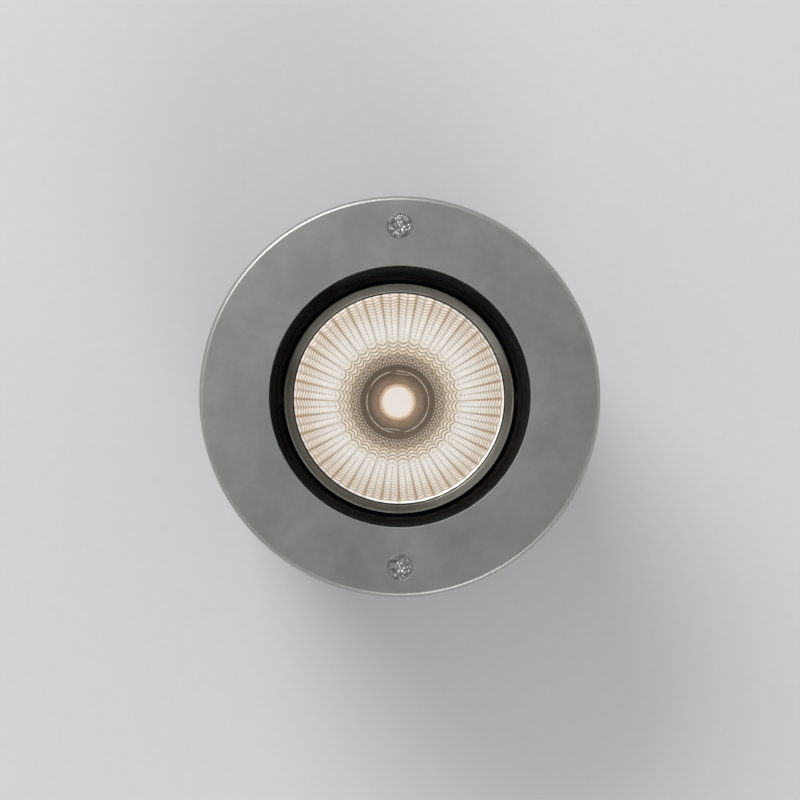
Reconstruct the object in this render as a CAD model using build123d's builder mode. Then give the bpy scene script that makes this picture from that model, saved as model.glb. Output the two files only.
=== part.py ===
from build123d import *

import math
import os

# Adjustable recessed floor light. Lengths are millimetres and angles degrees, +Z is up, and the
# origin is on the light's axis at finished ground level. Radii are worked out from the optic
# outwards and heights from the trim downwards, so a change in one piece carries to its neighbours.

# Motion of the optic
tilt_limit = 15.0
pan_limit = 175.0

# Clearances
tilt_gap = 1.2  # round the tilting optic over its whole travel
turn_gap = 0.4  # round the turning ring
seat_gap = 0.3  # between a moving piece and what it would rub on
fit_gap = 0.1  # round a piece pushed or screwed into its place
bolt_gap = 0.3  # round a screw in its clearance hole
pivot_gap = 0.06  # round a pivot pin in its bush
drop_in_gap = 0.8  # round the housing in the ground sleeve

# Screws: shank and head radius of each size
m3_shank, m3_head = 1.5, 2.75
m4_shank, m4_head = 2.0, 3.6
m5_shank, m5_head = 2.5, 4.65
pan_head_share = 0.7  # height of a pan head for its radius
countersink_slope = math.tan(math.radians(45))
screw_rim = 0.2  # cylindrical edge of a countersunk head
screw_sink = 0.3  # a countersunk head lies this far below its surface
lobe_count = 6  # lobes of the drive recess

# Light source
phosphor_radius = 6.15
phosphor_height = 0.5
dam_width = 1.1
dam_height = 0.7
board_side = 22.0
board_thickness = 1.2
board_turn = -8.0  # about the light's axis
pad_side = 21.0
pad_thickness = 0.3
holder_aperture_radius = 12.3
holder_flat = 11.1  # distance of the aperture's two flats from the axis
holder_edge = 2.0  # outside the reflector's neck
holder_lip = 2.2  # height of the holder above the board
holder_ear_radius = 3.6
holder_ear_height = 2.4
holder_screw_length = 6.0

# Reflector
reflector_neck_radius = 14.8
reflector_rim_radius = 40.2
reflector_height = 40.0
reflector_wall = 1.2
reflector_lip = 0.4  # thickness of the rim where it shows beside the bezel
reflector_drop = 0.3  # of the rim below the top of the bezel
reflector_flange = 1.0  # thickness
reflector_land = 0.8  # width of the flange that rests on the cage
facets_round = 36
facet_rows = 8

# Bezel and cage of the optic
bezel_reveal = 0.4  # dark line between the reflector's rim and the bezel
bezel_width = 3.0
bezel_plate = 0.8
bezel_skirt_wall = 0.6
bezel_skirt_height = 1.0
bezel_round = 0.4
bezel_rise = 6.0  # top of the bezel above the tilt axis
cage_ring_drop = 4.0  # underside of the cage's ring below the tilt axis
cage_arm_width = 9.0
cage_arm_thickness = 2.4
cage_arm_count = 4
cage_foot_length = 10.9
cage_foot_thickness = 3.0
cage_screw_length = 8.0

# Pivots
pin_radius = 1.5
bush_radius = 2.5
bush_flange = 1.0
washer_radius = 2.8
washer_thickness = 1.4
spot_face_depth = 0.2
spot_face_margin = 0.4

# Heat sink
sink_plate_thickness = 6.0
sink_fin_height = 27.0
sink_fin_count = 20
sink_fin_thickness = 1.5
sink_core_radius = 9.0

# Turning ring and its retaining ring
ring_width = 4.0
ring_rise = 6.5  # above the tilt axis
ring_drop = 6.0  # below the tilt axis
ring_land = 1.1  # overlap on the housing's ledge
ring_round = 0.4
stop_step_width = 1.9
stop_step_height = 2.4
stop_pin_radius = 0.7
tick_count = 3
tick_pitch = 3.0  # degrees
tick_bearing = -86.0  # degrees, the first tick
tick_width = 0.4
tick_length = 1.2
tick_depth = 0.3
tilt_stop_width = 8.0
tilt_stop_thickness = 1.2
retainer_thickness = 1.2
retainer_cover = 1.8  # reach over the turning ring
retainer_grip = 1.2  # reach into the housing's groove
retainer_opening = 14.0  # degrees between its ends
retainer_bearing = 127.0
retainer_eye_radius = 1.6
retainer_eye_hole = 0.8

# Trim, clamp ring and glass
trim_height = 3.5  # top of the trim above the ground
trim_undercut = 0.6  # underside of the trim above the ground, inside its outer lip
trim_overhang = 2.8  # beyond the ground sleeve
trim_lip = 1.0  # inwards of the well's wall
trim_edge_round = 1.6
trim_opening_chamfer = 0.4
clamp_thickness = 3.0
clamp_setback = 0.5
clamp_screw_count = 6
clamp_screw_length = 12.0
glass_thickness = 8.0
glass_land = 5.0  # reach of the glass over its seat
glass_chamfer = 0.6
gasket_wall = 2.5
gasket_lip = 3.5
gasket_lip_thickness = 1.5

# Housing
housing_wall = 3.2
flange_web = 3.4  # metal between the glass recess and the screws
flange_edge = 2.0  # metal outside the screws
seat_thickness = 3.0
floor_thickness = 5.0
rib_count = 24
rib_thickness = 2.2
chamber_height = 34.0
rim_thickness = 8.0
rim_edge = 1.8  # metal outside the cover's screws
seal_width = 2.4
seal_height = 2.2
seal_land = 1.1  # metal on either side of the seal
cover_thickness = 6.0
cover_screw_count = 6
cover_screw_length = 12.0
tapped_depth = 4.0  # of the small screws in the floor

# Driver chamber
driver_length = 62.0
driver_width = 38.0
driver_height = 20.0
driver_offset = -14.0
driver_edge = 1.0
driver_tab_length = 7.0
driver_tab_width = 12.0
driver_tab_thickness = 3.0
terminal_offset = 15.0
terminal_length = 30.0
terminal_width = 14.0
terminal_height = 15.0
terminal_poles = 3
terminal_entry_radius = 2.0
terminal_screw_radius = 1.6
terminal_screw_height = 5.0
grommet_bore = 2.5
grommet_waist = 4.5
grommet_flange = 6.0
grommet_lip = 1.5
grommet_wall_gap = 1.8  # between its flange and the chamber's wall
lead_bearing = 44.0  # of the grommet from +X, and of the earth screw from -X

# Cable glands and breather
gland_spacing = 48.0
gland_offset = 18.0
cable_radius = 5.0
gland_thread = 10.0
gland_flats = 24.0
gland_locknut = 4.0
gland_thread_end = 1.0
gland_washer_thickness = 1.5
gland_hex = 5.0
gland_neck_radius = 9.6
gland_neck = 7.5
gland_bore = 6.5
gland_seal_radius = 8.0
gland_seal_length = 8.0
gland_cap_gap = 1.0
gland_cap_hex = 8.0
gland_cap_nose = 5.6
gland_cap_mouth = 5.8
breather_thread = 6.0
breather_flats = 16.0
breather_head = 6.0
breather_nut = 3.0  # height of its locknut
breather_offset = -30.0
breather_bore = 3.0
breather_vent = 1.0

# Ground sleeve
sleeve_wall = 2.8
sleeve_rib_depth = 4.8
sleeve_rib_thickness = 3.0
sleeve_rib_count = 8
sleeve_foot_width = 12.0
sleeve_foot_thickness = 4.0
sleeve_foot_gap = 6.0  # the sleeve ends this far below the glands
sleeve_smooth = 60.0  # plain length below the ground
key_groove_count = 3
key_groove_pitch = 20.0
key_groove_width = 3.0
key_groove_depth = 1.0
cable_slot_width = 22.0
cable_slot_height = 28.0
boss_radius = 5.8
boss_depth = 28.0
insert_radius = 3.7
insert_length = 12.0
screw_end_gap = 1.0  # from the end of a trim screw to the end of its insert

# Radii, from the optic outwards
tilt_sin, tilt_cos = math.sin(math.radians(tilt_limit)), math.cos(math.radians(tilt_limit))
rim_outer = reflector_rim_radius + reflector_lip
bezel_inner = rim_outer + bezel_reveal
bezel_outer = bezel_inner + bezel_width
cage_outer = bezel_outer - bezel_skirt_wall - fit_gap
cage_inner = reflector_rim_radius + reflector_wall + fit_gap
reflector_flange_radius = cage_inner + reflector_land
ring_inner = math.hypot(bezel_outer, bezel_rise) + tilt_gap
ring_outer = ring_inner + ring_width
well_radius = ring_outer + turn_gap
pot_radius = ring_inner + ring_land  # inside of the lower well and of the driver chamber
tick_radius = ring_inner + 2 * ring_round
stop_step_radius = ring_outer - stop_step_width
stop_circle = stop_step_radius + seat_gap + stop_pin_radius
trim_opening = well_radius - trim_lip
glass_radius = well_radius + glass_land
gasket_radius = glass_radius + gasket_wall
recess_radius = gasket_radius + fit_gap
screw_circle = recess_radius + flange_web + m5_shank + bolt_gap
flange_radius = screw_circle + m5_shank + bolt_gap + flange_edge
sleeve_inner = flange_radius + drop_in_gap
sleeve_outer = sleeve_inner + sleeve_wall
trim_radius = sleeve_outer + trim_overhang
seal_inner = pot_radius + seal_land
seal_outer = seal_inner + seal_width
cover_screw_circle = seal_outer + seal_land + m3_shank + bolt_gap
cover_radius = cover_screw_circle + m3_shank + bolt_gap + rim_edge

# Heights, from the trim downwards
clamp_top = trim_undercut
clamp_bottom = clamp_top - clamp_thickness
glass_top = clamp_bottom - gasket_lip_thickness
glass_bottom = glass_top - glass_thickness
gasket_bottom = glass_bottom - gasket_lip_thickness
flange_bottom = gasket_bottom - seat_thickness
pivot_height = glass_bottom - tilt_gap - bezel_outer * tilt_sin - bezel_rise * tilt_cos
bezel_top = pivot_height + bezel_rise
rim_height = bezel_top - reflector_drop
flange_top = bezel_top - bezel_plate
cage_top = flange_top - reflector_flange
skirt_bottom = cage_top - bezel_skirt_height
cage_ring_bottom = pivot_height - cage_ring_drop
neck_height = rim_height - reflector_height
board_top = neck_height - holder_lip
board_bottom = board_top - board_thickness
sink_top = board_bottom - pad_thickness
fin_top = sink_top - sink_plate_thickness
sink_bottom = fin_top - sink_fin_height
sink_reach = pivot_height - sink_bottom
sink_radius = (pot_radius - tilt_gap - sink_reach * tilt_sin) / tilt_cos
ring_top = pivot_height + ring_rise
ring_bottom = pivot_height - ring_drop
ledge_height = ring_bottom - seat_gap
retainer_bottom = ring_top + seat_gap
retainer_top = retainer_bottom + retainer_thickness
tilt_stop_top = pivot_height - cage_outer * tilt_sin - cage_ring_drop * tilt_cos - seat_gap
tilt_stop_bottom = tilt_stop_top - tilt_stop_thickness
floor_top = pivot_height - sink_reach * tilt_cos - sink_radius * tilt_sin - tilt_gap
floor_bottom = floor_top - floor_thickness
rim_bottom = floor_bottom - chamber_height
cover_bottom = rim_bottom - cover_thickness
gland_end = rim_bottom + gland_locknut + gland_thread_end
gland_washer_bottom = cover_bottom - gland_washer_thickness
gland_hex_bottom = gland_washer_bottom - gland_hex
gland_neck_bottom = gland_hex_bottom - gland_neck
gland_seal_top = gland_neck_bottom + gland_seal_length / 2
gland_seal_bottom = gland_seal_top - gland_seal_length
gland_cap_top = gland_hex_bottom - gland_cap_gap
gland_cap_hex_bottom = gland_cap_top - gland_cap_hex
gland_cap_bottom = gland_cap_hex_bottom - gland_cap_nose
sleeve_bottom = gland_cap_bottom - sleeve_foot_gap

# Places of the small pieces
holder_radius = reflector_neck_radius + holder_edge
foot_inner = holder_radius + fit_gap
foot_outer = foot_inner + cage_foot_length
cage_screw_circle = foot_inner + m3_head + 2 * bolt_gap
holder_screw_circle = holder_radius + holder_ear_radius
gland_places = [(side * gland_spacing / 2, gland_offset) for side in (-1, 1)]
driver_screw_x = (driver_length + driver_tab_length) / 2
driver_screw_places = [(side * driver_screw_x, driver_offset) for side in (-1, 1)]
lead_circle = pot_radius - grommet_wall_gap - grommet_flange
lead_x = lead_circle * math.cos(math.radians(lead_bearing))
lead_y = lead_circle * math.sin(math.radians(lead_bearing))
terminal_pitch = terminal_length / terminal_poles
terminal_fixing_places = [(side * terminal_pitch / 2, terminal_offset) for side in (-1, 1)]

os.makedirs("parts", exist_ok=True)


def finish(builder, name):
    """Names the finished piece and writes it to its own file."""
    builder.part.label = name
    export_step(builder.part, f"parts/{name}.step")


def drive_recess(head):
    """Six-lobed recess for a screw head of this radius, with the pin left in its middle."""
    with BuildSketch() as recess:
        Circle(0.36 * head)
        with PolarLocations(0.36 * head, lobe_count):
            Circle(0.12 * head)
        Circle(0.13 * head, mode=Mode.SUBTRACT)
    return recess.sketch


def countersunk_screw(surface, length, shank, head):
    """Countersunk screw on the axis, its head just below the surface it is sunk in."""
    top = surface - screw_sink
    with BuildPart() as screw:
        with BuildSketch(Plane.XZ):
            Polygon(
                (0, top),
                (head, top),
                (head, top - screw_rim),
                (shank, top - screw_rim - (head - shank) / countersink_slope),
                (shank, top - length),
                (0, top - length),
                align=None,
            )
        revolve(axis=Axis.Z)
        with BuildSketch(Plane.XY.offset(top)):
            add(drive_recess(head))
        extrude(amount=-(head - shank), mode=Mode.SUBTRACT)
    return screw.part


def pan_head_screw(seat, length, shank, head, up=1):
    """Pan-head screw on the axis: head against the seat, shank upwards (up=1) or downwards (-1)."""
    with BuildPart() as screw:
        with BuildSketch(Plane.XY.offset(seat)):
            Circle(head)
        extrude(amount=-up * pan_head_share * head)
        fillet(screw.edges().group_by(Axis.Z)[min(up, 0)], 0.15 * head)
        with BuildSketch(Plane.XY.offset(seat)):
            Circle(shank)
        extrude(amount=up * length)
        with BuildSketch(Plane.XY.offset(seat - up * pan_head_share * head)):
            add(drive_recess(head))
        extrude(amount=up * 0.4 * head, mode=Mode.SUBTRACT)
    return screw.part


def turned(profile):
    """Solid of revolution about the light's axis from (radius, height) corners."""
    with BuildPart() as solid:
        with BuildSketch(Plane.XZ):
            Polygon(*profile, align=None)
        revolve(axis=Axis.Z)
    return solid.part


def tube(outer, inner, top, bottom):
    """Plain ring on the axis between two heights."""
    return turned([(inner, bottom), (outer, bottom), (outer, top), (inner, top)])


def countersunk_radius(head):
    """Radius at the surface of the countersink that a head of this radius seats in."""
    return head + screw_rim + screw_sink


def reflector_radius(share):
    """Inner radius of the reflector at a share of its height above the neck: a parabola."""
    neck, rim = reflector_neck_radius**2, reflector_rim_radius**2
    return math.sqrt(neck + (rim - neck) * share)


# Steel trim ring, lying on the ground with its outer lip
with BuildPart() as trim_ring:
    with BuildSketch(Plane.XZ):
        Polygon(
            (trim_opening, trim_undercut),
            (sleeve_outer + fit_gap, trim_undercut),
            (sleeve_outer + fit_gap, 0),
            (trim_radius, 0),
            (trim_radius, trim_height),
            (trim_opening, trim_height),
            align=None,
        )
    revolve(axis=Axis.Z)
    top_edges = trim_ring.edges().group_by(Axis.Z)[-1].sort_by(SortBy.LENGTH)
    fillet(top_edges[-1], trim_edge_round)
    chamfer(top_edges[0], trim_opening_chamfer)
    with Locations((0, 0, trim_height)):
        with PolarLocations(screw_circle, 2, start_angle=90):
            CounterSinkHole(m5_shank + bolt_gap, countersunk_radius(m5_head), counter_sink_angle=90)
finish(trim_ring, "trim_ring")

# The two screws that hold the light down in its sleeve
with BuildPart() as trim_screws:
    with PolarLocations(screw_circle, 2, start_angle=90):
        add(
            countersunk_screw(
                trim_height,
                trim_height - flange_bottom + insert_length - screw_end_gap,
                m5_shank,
                m5_head,
            )
        )
finish(trim_screws, "trim_screws")

# Ring that clamps the glass into the housing
with BuildPart() as clamp_ring:
    add(tube(flange_radius, trim_opening + clamp_setback, clamp_top, clamp_bottom))
    with Locations((0, 0, clamp_top)):
        with PolarLocations(screw_circle, 2, start_angle=90):
            Hole(m5_shank + bolt_gap)
        with PolarLocations(screw_circle, clamp_screw_count):
            CounterSinkHole(m4_shank + bolt_gap, countersunk_radius(m4_head), counter_sink_angle=90)
finish(clamp_ring, "clamp_ring")

with BuildPart() as clamp_screws:
    with PolarLocations(screw_circle, clamp_screw_count):
        add(countersunk_screw(clamp_top, clamp_screw_length, m4_shank, m4_head))
finish(clamp_screws, "clamp_screws")

# Toughened glass in a channel-section gasket
with BuildPart() as glass:
    with BuildSketch(Plane.XY.offset(glass_bottom)):
        Circle(glass_radius)
    extrude(amount=glass_thickness)
    chamfer(glass.edges().group_by(Axis.Z)[0] + glass.edges().group_by(Axis.Z)[-1], glass_chamfer)
finish(glass, "glass")

with BuildPart() as glass_gasket:
    add(tube(gasket_radius, glass_radius - gasket_lip, clamp_bottom, gasket_bottom))
    add(tube(glass_radius + fit_gap, 0, glass_top, glass_bottom), mode=Mode.SUBTRACT)
finish(glass_gasket, "glass_gasket")

# Cast housing: flange, well of the optic, cooling ribs, and the driver chamber under the floor
with BuildPart() as casting:
    add(
        turned(
            [
                (recess_radius, clamp_bottom),
                (flange_radius, clamp_bottom),
                (flange_radius, flange_bottom),
                (well_radius + housing_wall, flange_bottom),
                (well_radius + housing_wall, ledge_height),
                (pot_radius + housing_wall, ledge_height - 2 * housing_wall),
                (pot_radius + housing_wall, rim_bottom + rim_thickness),
                (cover_radius, rim_bottom + rim_thickness),
                (cover_radius, rim_bottom),
                (pot_radius, rim_bottom),
                (pot_radius, floor_bottom),
                (0, floor_bottom),
                (0, floor_top),
                (pot_radius, floor_top),
                (pot_radius, ledge_height),
                (well_radius, ledge_height),
                (well_radius, gasket_bottom),
                (recess_radius, gasket_bottom),
            ]
        )
    )
    with BuildSketch(Plane.XY.offset(rim_bottom + rim_thickness / 2)):
        with PolarLocations(pot_radius + housing_wall / 2, rib_count, start_angle=180 / rib_count):
            Rectangle(
                cover_radius - pot_radius - housing_wall / 2,
                rib_thickness,
                align=(Align.MIN, Align.CENTER),
            )
    extrude(amount=flange_bottom + seat_thickness / 2 - rim_bottom - rim_thickness / 2)
    # The ribs start inside the pot's wall, so the upper well is bored again after them
    add(tube(well_radius, 0, gasket_bottom, ledge_height), mode=Mode.SUBTRACT)
    groove_top, groove_bottom = retainer_top + fit_gap, retainer_bottom - fit_gap
    groove_radius = well_radius + retainer_grip + fit_gap
    add(tube(groove_radius, 0, groove_top, groove_bottom), mode=Mode.SUBTRACT)
    with Locations((0, 0, clamp_bottom)):
        with PolarLocations(screw_circle, 2, start_angle=90):
            Hole(m5_shank + bolt_gap)
        with PolarLocations(screw_circle, clamp_screw_count):
            Hole(m4_shank + fit_gap, depth=clamp_screw_length)
    # Stop pin of the turning ring, standing on the ledge
    with BuildSketch(Plane.XY.offset(ledge_height)):
        with PolarLocations(stop_circle, 1, start_angle=90):
            Circle(stop_pin_radius)
    extrude(amount=stop_step_height)
    # Tapped holes and the lead hole in the floor, tapped holes of the cover
    with BuildSketch(Plane.XY.offset(floor_bottom)):
        with Locations(*driver_screw_places, *terminal_fixing_places, (-lead_x, lead_y)):
            Circle(m3_shank + fit_gap)
    extrude(amount=tapped_depth + fit_gap, mode=Mode.SUBTRACT)
    with BuildSketch(Plane.XY.offset(floor_bottom)):
        with Locations((lead_x, lead_y)):
            Circle(grommet_waist + fit_gap)
    extrude(amount=floor_thickness, mode=Mode.SUBTRACT)
    with BuildSketch(Plane.XY.offset(rim_bottom)):
        with PolarLocations(cover_screw_circle, cover_screw_count):
            Circle(m3_shank + fit_gap)
    extrude(amount=cover_screw_length - cover_thickness + fit_gap, mode=Mode.SUBTRACT)

# The casting is handed on in three lengths, cut across just under the flange and just above the floor
flange_joint = Plane.XY.offset(flange_bottom - housing_wall)
floor_joint = Plane.XY.offset(floor_top + housing_wall)
with BuildPart() as housing_flange:
    add(casting.part)
    split(bisect_by=flange_joint, keep=Keep.TOP)
finish(housing_flange, "housing_flange")

with BuildPart() as housing:
    add(casting.part)
    split(bisect_by=flange_joint, keep=Keep.BOTTOM)
    split(bisect_by=floor_joint, keep=Keep.TOP)
finish(housing, "housing")

with BuildPart() as driver_chamber:
    add(casting.part)
    split(bisect_by=floor_joint, keep=Keep.BOTTOM)
finish(driver_chamber, "driver_chamber")

# Turning ring: step and stop lug below, ticks on top, pivot holes, and the two tilt stops
lug_angle = 2 * (
    180 - pan_limit - math.degrees((stop_pin_radius + seat_gap) / stop_circle)
)
with BuildPart() as turning_ring:
    add(tube(ring_outer, ring_inner, ring_top, ring_bottom))
    fillet(turning_ring.edges().group_by(Axis.Z)[-1], ring_round)
    with BuildSketch(Plane.XZ.rotated((0, 0, lug_angle / 2 - 90))):
        with Locations((stop_step_radius, ring_bottom)):
            Rectangle(
                stop_step_width + turn_gap,
                stop_step_height + seat_gap,
                align=(Align.MIN, Align.MIN),
            )
    revolve(axis=Axis.Z, revolution_arc=360 - lug_angle, mode=Mode.SUBTRACT)
    with BuildSketch(Plane.XY.offset(tilt_stop_bottom)):
        with PolarLocations(pot_radius - turn_gap - fit_gap, 2, start_angle=90):
            Rectangle(
                pot_radius - cage_inner, tilt_stop_width, align=(Align.MAX, Align.CENTER)
            )
    extrude(amount=tilt_stop_thickness)
    with BuildSketch(Plane.XY.offset(tilt_stop_bottom)):
        with PolarLocations(pot_radius - turn_gap - fit_gap, 2, start_angle=90):
            Rectangle(
                tilt_stop_thickness, tilt_stop_width, align=(Align.MAX, Align.CENTER)
            )
    extrude(amount=pivot_height - tilt_stop_bottom)
    for side in (1, -1):
        with BuildSketch(Plane.YZ.offset(side * (ring_outer + turn_gap))):
            with Locations((0, pivot_height)):
                Circle(m3_head + bolt_gap)
        extrude(
            amount=-side * (turn_gap + 2 * fit_gap + pan_head_share * m3_head), mode=Mode.SUBTRACT
        )
        with BuildSketch(Plane.YZ.offset(side * (ring_outer + turn_gap))):
            with Locations((0, pivot_height)):
                Circle(pin_radius + fit_gap)
        extrude(amount=-side * 2 * ring_width, mode=Mode.SUBTRACT)
        with BuildSketch(Plane.YZ.offset(side * (ring_inner + spot_face_depth))):
            with Locations((0, pivot_height)):
                Circle(washer_radius + spot_face_margin)
        extrude(amount=-side * ring_width, mode=Mode.SUBTRACT)
    with BuildSketch(Plane.XY.offset(ring_top)):
        for tick in range(tick_count):
            with PolarLocations(tick_radius, 1, tick_bearing + tick * tick_pitch):
                Rectangle(tick_length, tick_width, align=(Align.MIN, Align.CENTER))
    extrude(amount=-tick_depth, mode=Mode.SUBTRACT)
finish(turning_ring, "turning_ring")

# Snap ring in the housing's groove, over the turning ring
with BuildPart() as retaining_ring:
    with BuildSketch(Plane.XY.offset(retainer_bottom)):
        Circle(well_radius + retainer_grip)
        Circle(ring_outer - retainer_cover, mode=Mode.SUBTRACT)
        with BuildLine():
            reach = 2 * well_radius
            half = math.radians(retainer_opening / 2)
            middle = math.radians(retainer_bearing)
            Polyline(
                (0, 0),
                (reach * math.cos(middle - half), reach * math.sin(middle - half)),
                (reach * math.cos(middle + half), reach * math.sin(middle + half)),
                (0, 0),
            )
        make_face(mode=Mode.SUBTRACT)
        eye_turn = retainer_opening / 2 + math.degrees(retainer_eye_radius / ring_outer)
        for bearing in (retainer_bearing - eye_turn, retainer_bearing + eye_turn):
            with PolarLocations(ring_outer - retainer_cover, 1, bearing):
                Circle(retainer_eye_radius)
                Circle(retainer_eye_hole, mode=Mode.SUBTRACT)
    extrude(amount=retainer_thickness)
finish(retaining_ring, "retaining_ring")

# Pivots: a shouldered screw, a spring washer and a flanged bush on each side
pivot_seat = ring_outer - pan_head_share * m3_head - 2 * fit_gap
cage_face = cage_outer - spot_face_depth
ring_face = ring_inner + spot_face_depth


def both_pivots(piece):
    """The piece, made on the vertical axis, on both ends of the tilt axis."""
    with BuildPart() as pair:
        for side in (1, -1):
            with Locations(Location((0, 0, pivot_height), (0, 90 * side, 0))):
                add(piece)
    return pair.part


with BuildPart() as pivot_screws:
    add(
        both_pivots(
            pan_head_screw(pivot_seat, pivot_seat - cage_inner - fit_gap, pin_radius, m3_head, up=-1)
        )
    )
finish(pivot_screws, "pivot_screws")

with BuildPart() as pivot_washers:
    add(both_pivots(tube(washer_radius, pin_radius + fit_gap, ring_face, ring_face - washer_thickness)))
finish(pivot_washers, "pivot_washers")

with BuildPart() as pivot_bush:
    add(tube(bush_radius, pin_radius + pivot_gap, cage_face + bush_flange, cage_inner))
    add(tube(washer_radius, pin_radius + pivot_gap, cage_face + bush_flange, cage_face))
with BuildPart() as pivot_bushes:
    add(both_pivots(pivot_bush.part))
finish(pivot_bushes, "pivot_bushes")

# Bezel round the reflector
with BuildPart() as optic_bezel:
    with BuildSketch(Plane.XZ):
        Polygon(
            (bezel_inner, flange_top),
            (reflector_flange_radius + fit_gap, flange_top),
            (reflector_flange_radius + fit_gap, cage_top),
            (cage_outer + fit_gap, cage_top),
            (cage_outer + fit_gap, skirt_bottom),
            (bezel_outer, skirt_bottom),
            (bezel_outer, bezel_top),
            (bezel_inner, bezel_top),
            align=None,
        )
    revolve(axis=Axis.Z)
    fillet(optic_bezel.edges().group_by(Axis.Z)[-1].sort_by(SortBy.LENGTH)[-1], bezel_round)
finish(optic_bezel, "optic_bezel")

# Cage: ring on the pivots, four arms, and feet screwed to the heat sink
arm_outer = cage_outer - 2 * fit_gap
with BuildPart() as optic_cage:
    add(tube(cage_outer, cage_inner, cage_top, cage_ring_bottom))
    with BuildPart(mode=Mode.PRIVATE) as cage_arm:
        with BuildSketch(Plane.XZ):
            Polygon(
                (foot_inner, sink_top),
                (foot_outer, sink_top),
                (foot_outer, sink_top + cage_foot_thickness),
                (arm_outer, cage_ring_bottom - cage_arm_thickness),
                (arm_outer, cage_ring_bottom + fit_gap),
                (cage_inner, cage_ring_bottom + fit_gap),
                (cage_inner, cage_ring_bottom - cage_arm_thickness),
                (foot_outer - cage_arm_thickness, sink_top + cage_foot_thickness),
                (foot_inner, sink_top + cage_foot_thickness),
                align=None,
            )
        extrude(amount=cage_arm_width / 2, both=True)
    with PolarLocations(0, cage_arm_count, start_angle=180 / cage_arm_count):
        add(cage_arm.part)
    with Locations((0, 0, sink_top + cage_foot_thickness)):
        with PolarLocations(cage_screw_circle, cage_arm_count, start_angle=180 / cage_arm_count):
            Hole(m3_shank + bolt_gap, depth=cage_foot_thickness)
    for side in (1, -1):
        with BuildSketch(Plane.YZ.offset(side * cage_face)):
            with Locations((0, pivot_height)):
                Circle(washer_radius + spot_face_margin)
        extrude(amount=side * ring_width, mode=Mode.SUBTRACT)
        with BuildSketch(Plane.YZ.offset(side * cage_face)):
            with Locations((0, pivot_height)):
                Circle(bush_radius)
        extrude(amount=-side * ring_width, mode=Mode.SUBTRACT)
finish(optic_cage, "optic_cage")

with BuildPart() as cage_screws:
    with PolarLocations(cage_screw_circle, cage_arm_count, start_angle=180 / cage_arm_count):
        add(
            pan_head_screw(
                sink_top + cage_foot_thickness, cage_screw_length, m3_shank, m3_head, up=-1
            )
        )
finish(cage_screws, "cage_screws")

# Reflector: round outside, flat facets inside, flange under the bezel
wall_rows = [row / facet_rows for row in range(facet_rows + 1)]
flange_share = (cage_top - neck_height) / reflector_height
with BuildPart() as reflector:
    with BuildSketch(Plane.XZ):
        Polygon(
            (0, neck_height),
            *[
                (reflector_radius(share) + reflector_wall, neck_height + share * reflector_height)
                for share in wall_rows
                if share < flange_share
            ],
            (reflector_radius(flange_share) + reflector_wall, cage_top),
            (reflector_flange_radius, cage_top),
            (reflector_flange_radius, flange_top),
            (rim_outer, flange_top),
            (rim_outer, rim_height),
            (0, rim_height),
            align=None,
        )
    revolve(axis=Axis.Z)
    with BuildPart(mode=Mode.PRIVATE) as bowl:
        for share in wall_rows:
            with BuildSketch(Plane.XY.offset(neck_height + share * reflector_height)):
                RegularPolygon(reflector_radius(share), facets_round)
        loft(ruled=True)
    add(bowl.part, mode=Mode.SUBTRACT)
finish(reflector, "reflector")

# Light source: round emitting disc in its dam, on a square board held down by a ring
with BuildPart() as phosphor_disc:
    with BuildSketch(Plane.XY.offset(board_top)):
        Circle(phosphor_radius)
    extrude(amount=phosphor_height)
finish(phosphor_disc, "phosphor_disc")

with BuildPart() as dam_ring:
    add(
        tube(
            phosphor_radius + fit_gap + dam_width,
            phosphor_radius + fit_gap,
            board_top + dam_height,
            board_top,
        )
    )
finish(dam_ring, "dam_ring")

with BuildPart() as led_board:
    with BuildSketch(Plane.XY.offset(board_bottom)):
        Rectangle(board_side, board_side, rotation=board_turn)
    extrude(amount=board_thickness)
finish(led_board, "led_board")

with BuildPart() as thermal_pad:
    with BuildSketch(Plane.XY.offset(sink_top)):
        Rectangle(pad_side, pad_side, rotation=board_turn)
    extrude(amount=pad_thickness)
finish(thermal_pad, "thermal_pad")

with BuildPart() as led_holder:
    with BuildSketch(Plane.XY.offset(sink_top)):
        Circle(holder_radius)
    extrude(amount=neck_height - sink_top)
    with BuildSketch(Plane.XY.offset(sink_top)):
        with PolarLocations(holder_screw_circle, 2):
            Circle(holder_ear_radius)
        Rectangle(2 * holder_screw_circle, 2 * holder_ear_radius)
    extrude(amount=holder_ear_height)
    with BuildSketch(Plane.XY.offset(sink_top)):
        Rectangle(board_side + 2 * fit_gap, board_side + 2 * fit_gap, rotation=board_turn)
    extrude(amount=board_top - sink_top, mode=Mode.SUBTRACT)
    with BuildSketch(Plane.XY.offset(board_top)):
        Circle(holder_aperture_radius)
        Rectangle(
            2 * holder_aperture_radius,
            2 * holder_flat,
            rotation=board_turn,
            mode=Mode.INTERSECT,
        )
    extrude(amount=holder_lip, mode=Mode.SUBTRACT)
    with Locations((0, 0, sink_top + holder_ear_height)):
        with PolarLocations(holder_screw_circle, 2):
            Hole(m3_shank + bolt_gap, depth=holder_ear_height)
finish(led_holder, "led_holder")

with BuildPart() as holder_screws:
    with PolarLocations(holder_screw_circle, 2):
        add(
            pan_head_screw(
                sink_top + holder_ear_height, holder_screw_length, m3_shank, m3_head, up=-1
            )
        )
finish(holder_screws, "holder_screws")

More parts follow.
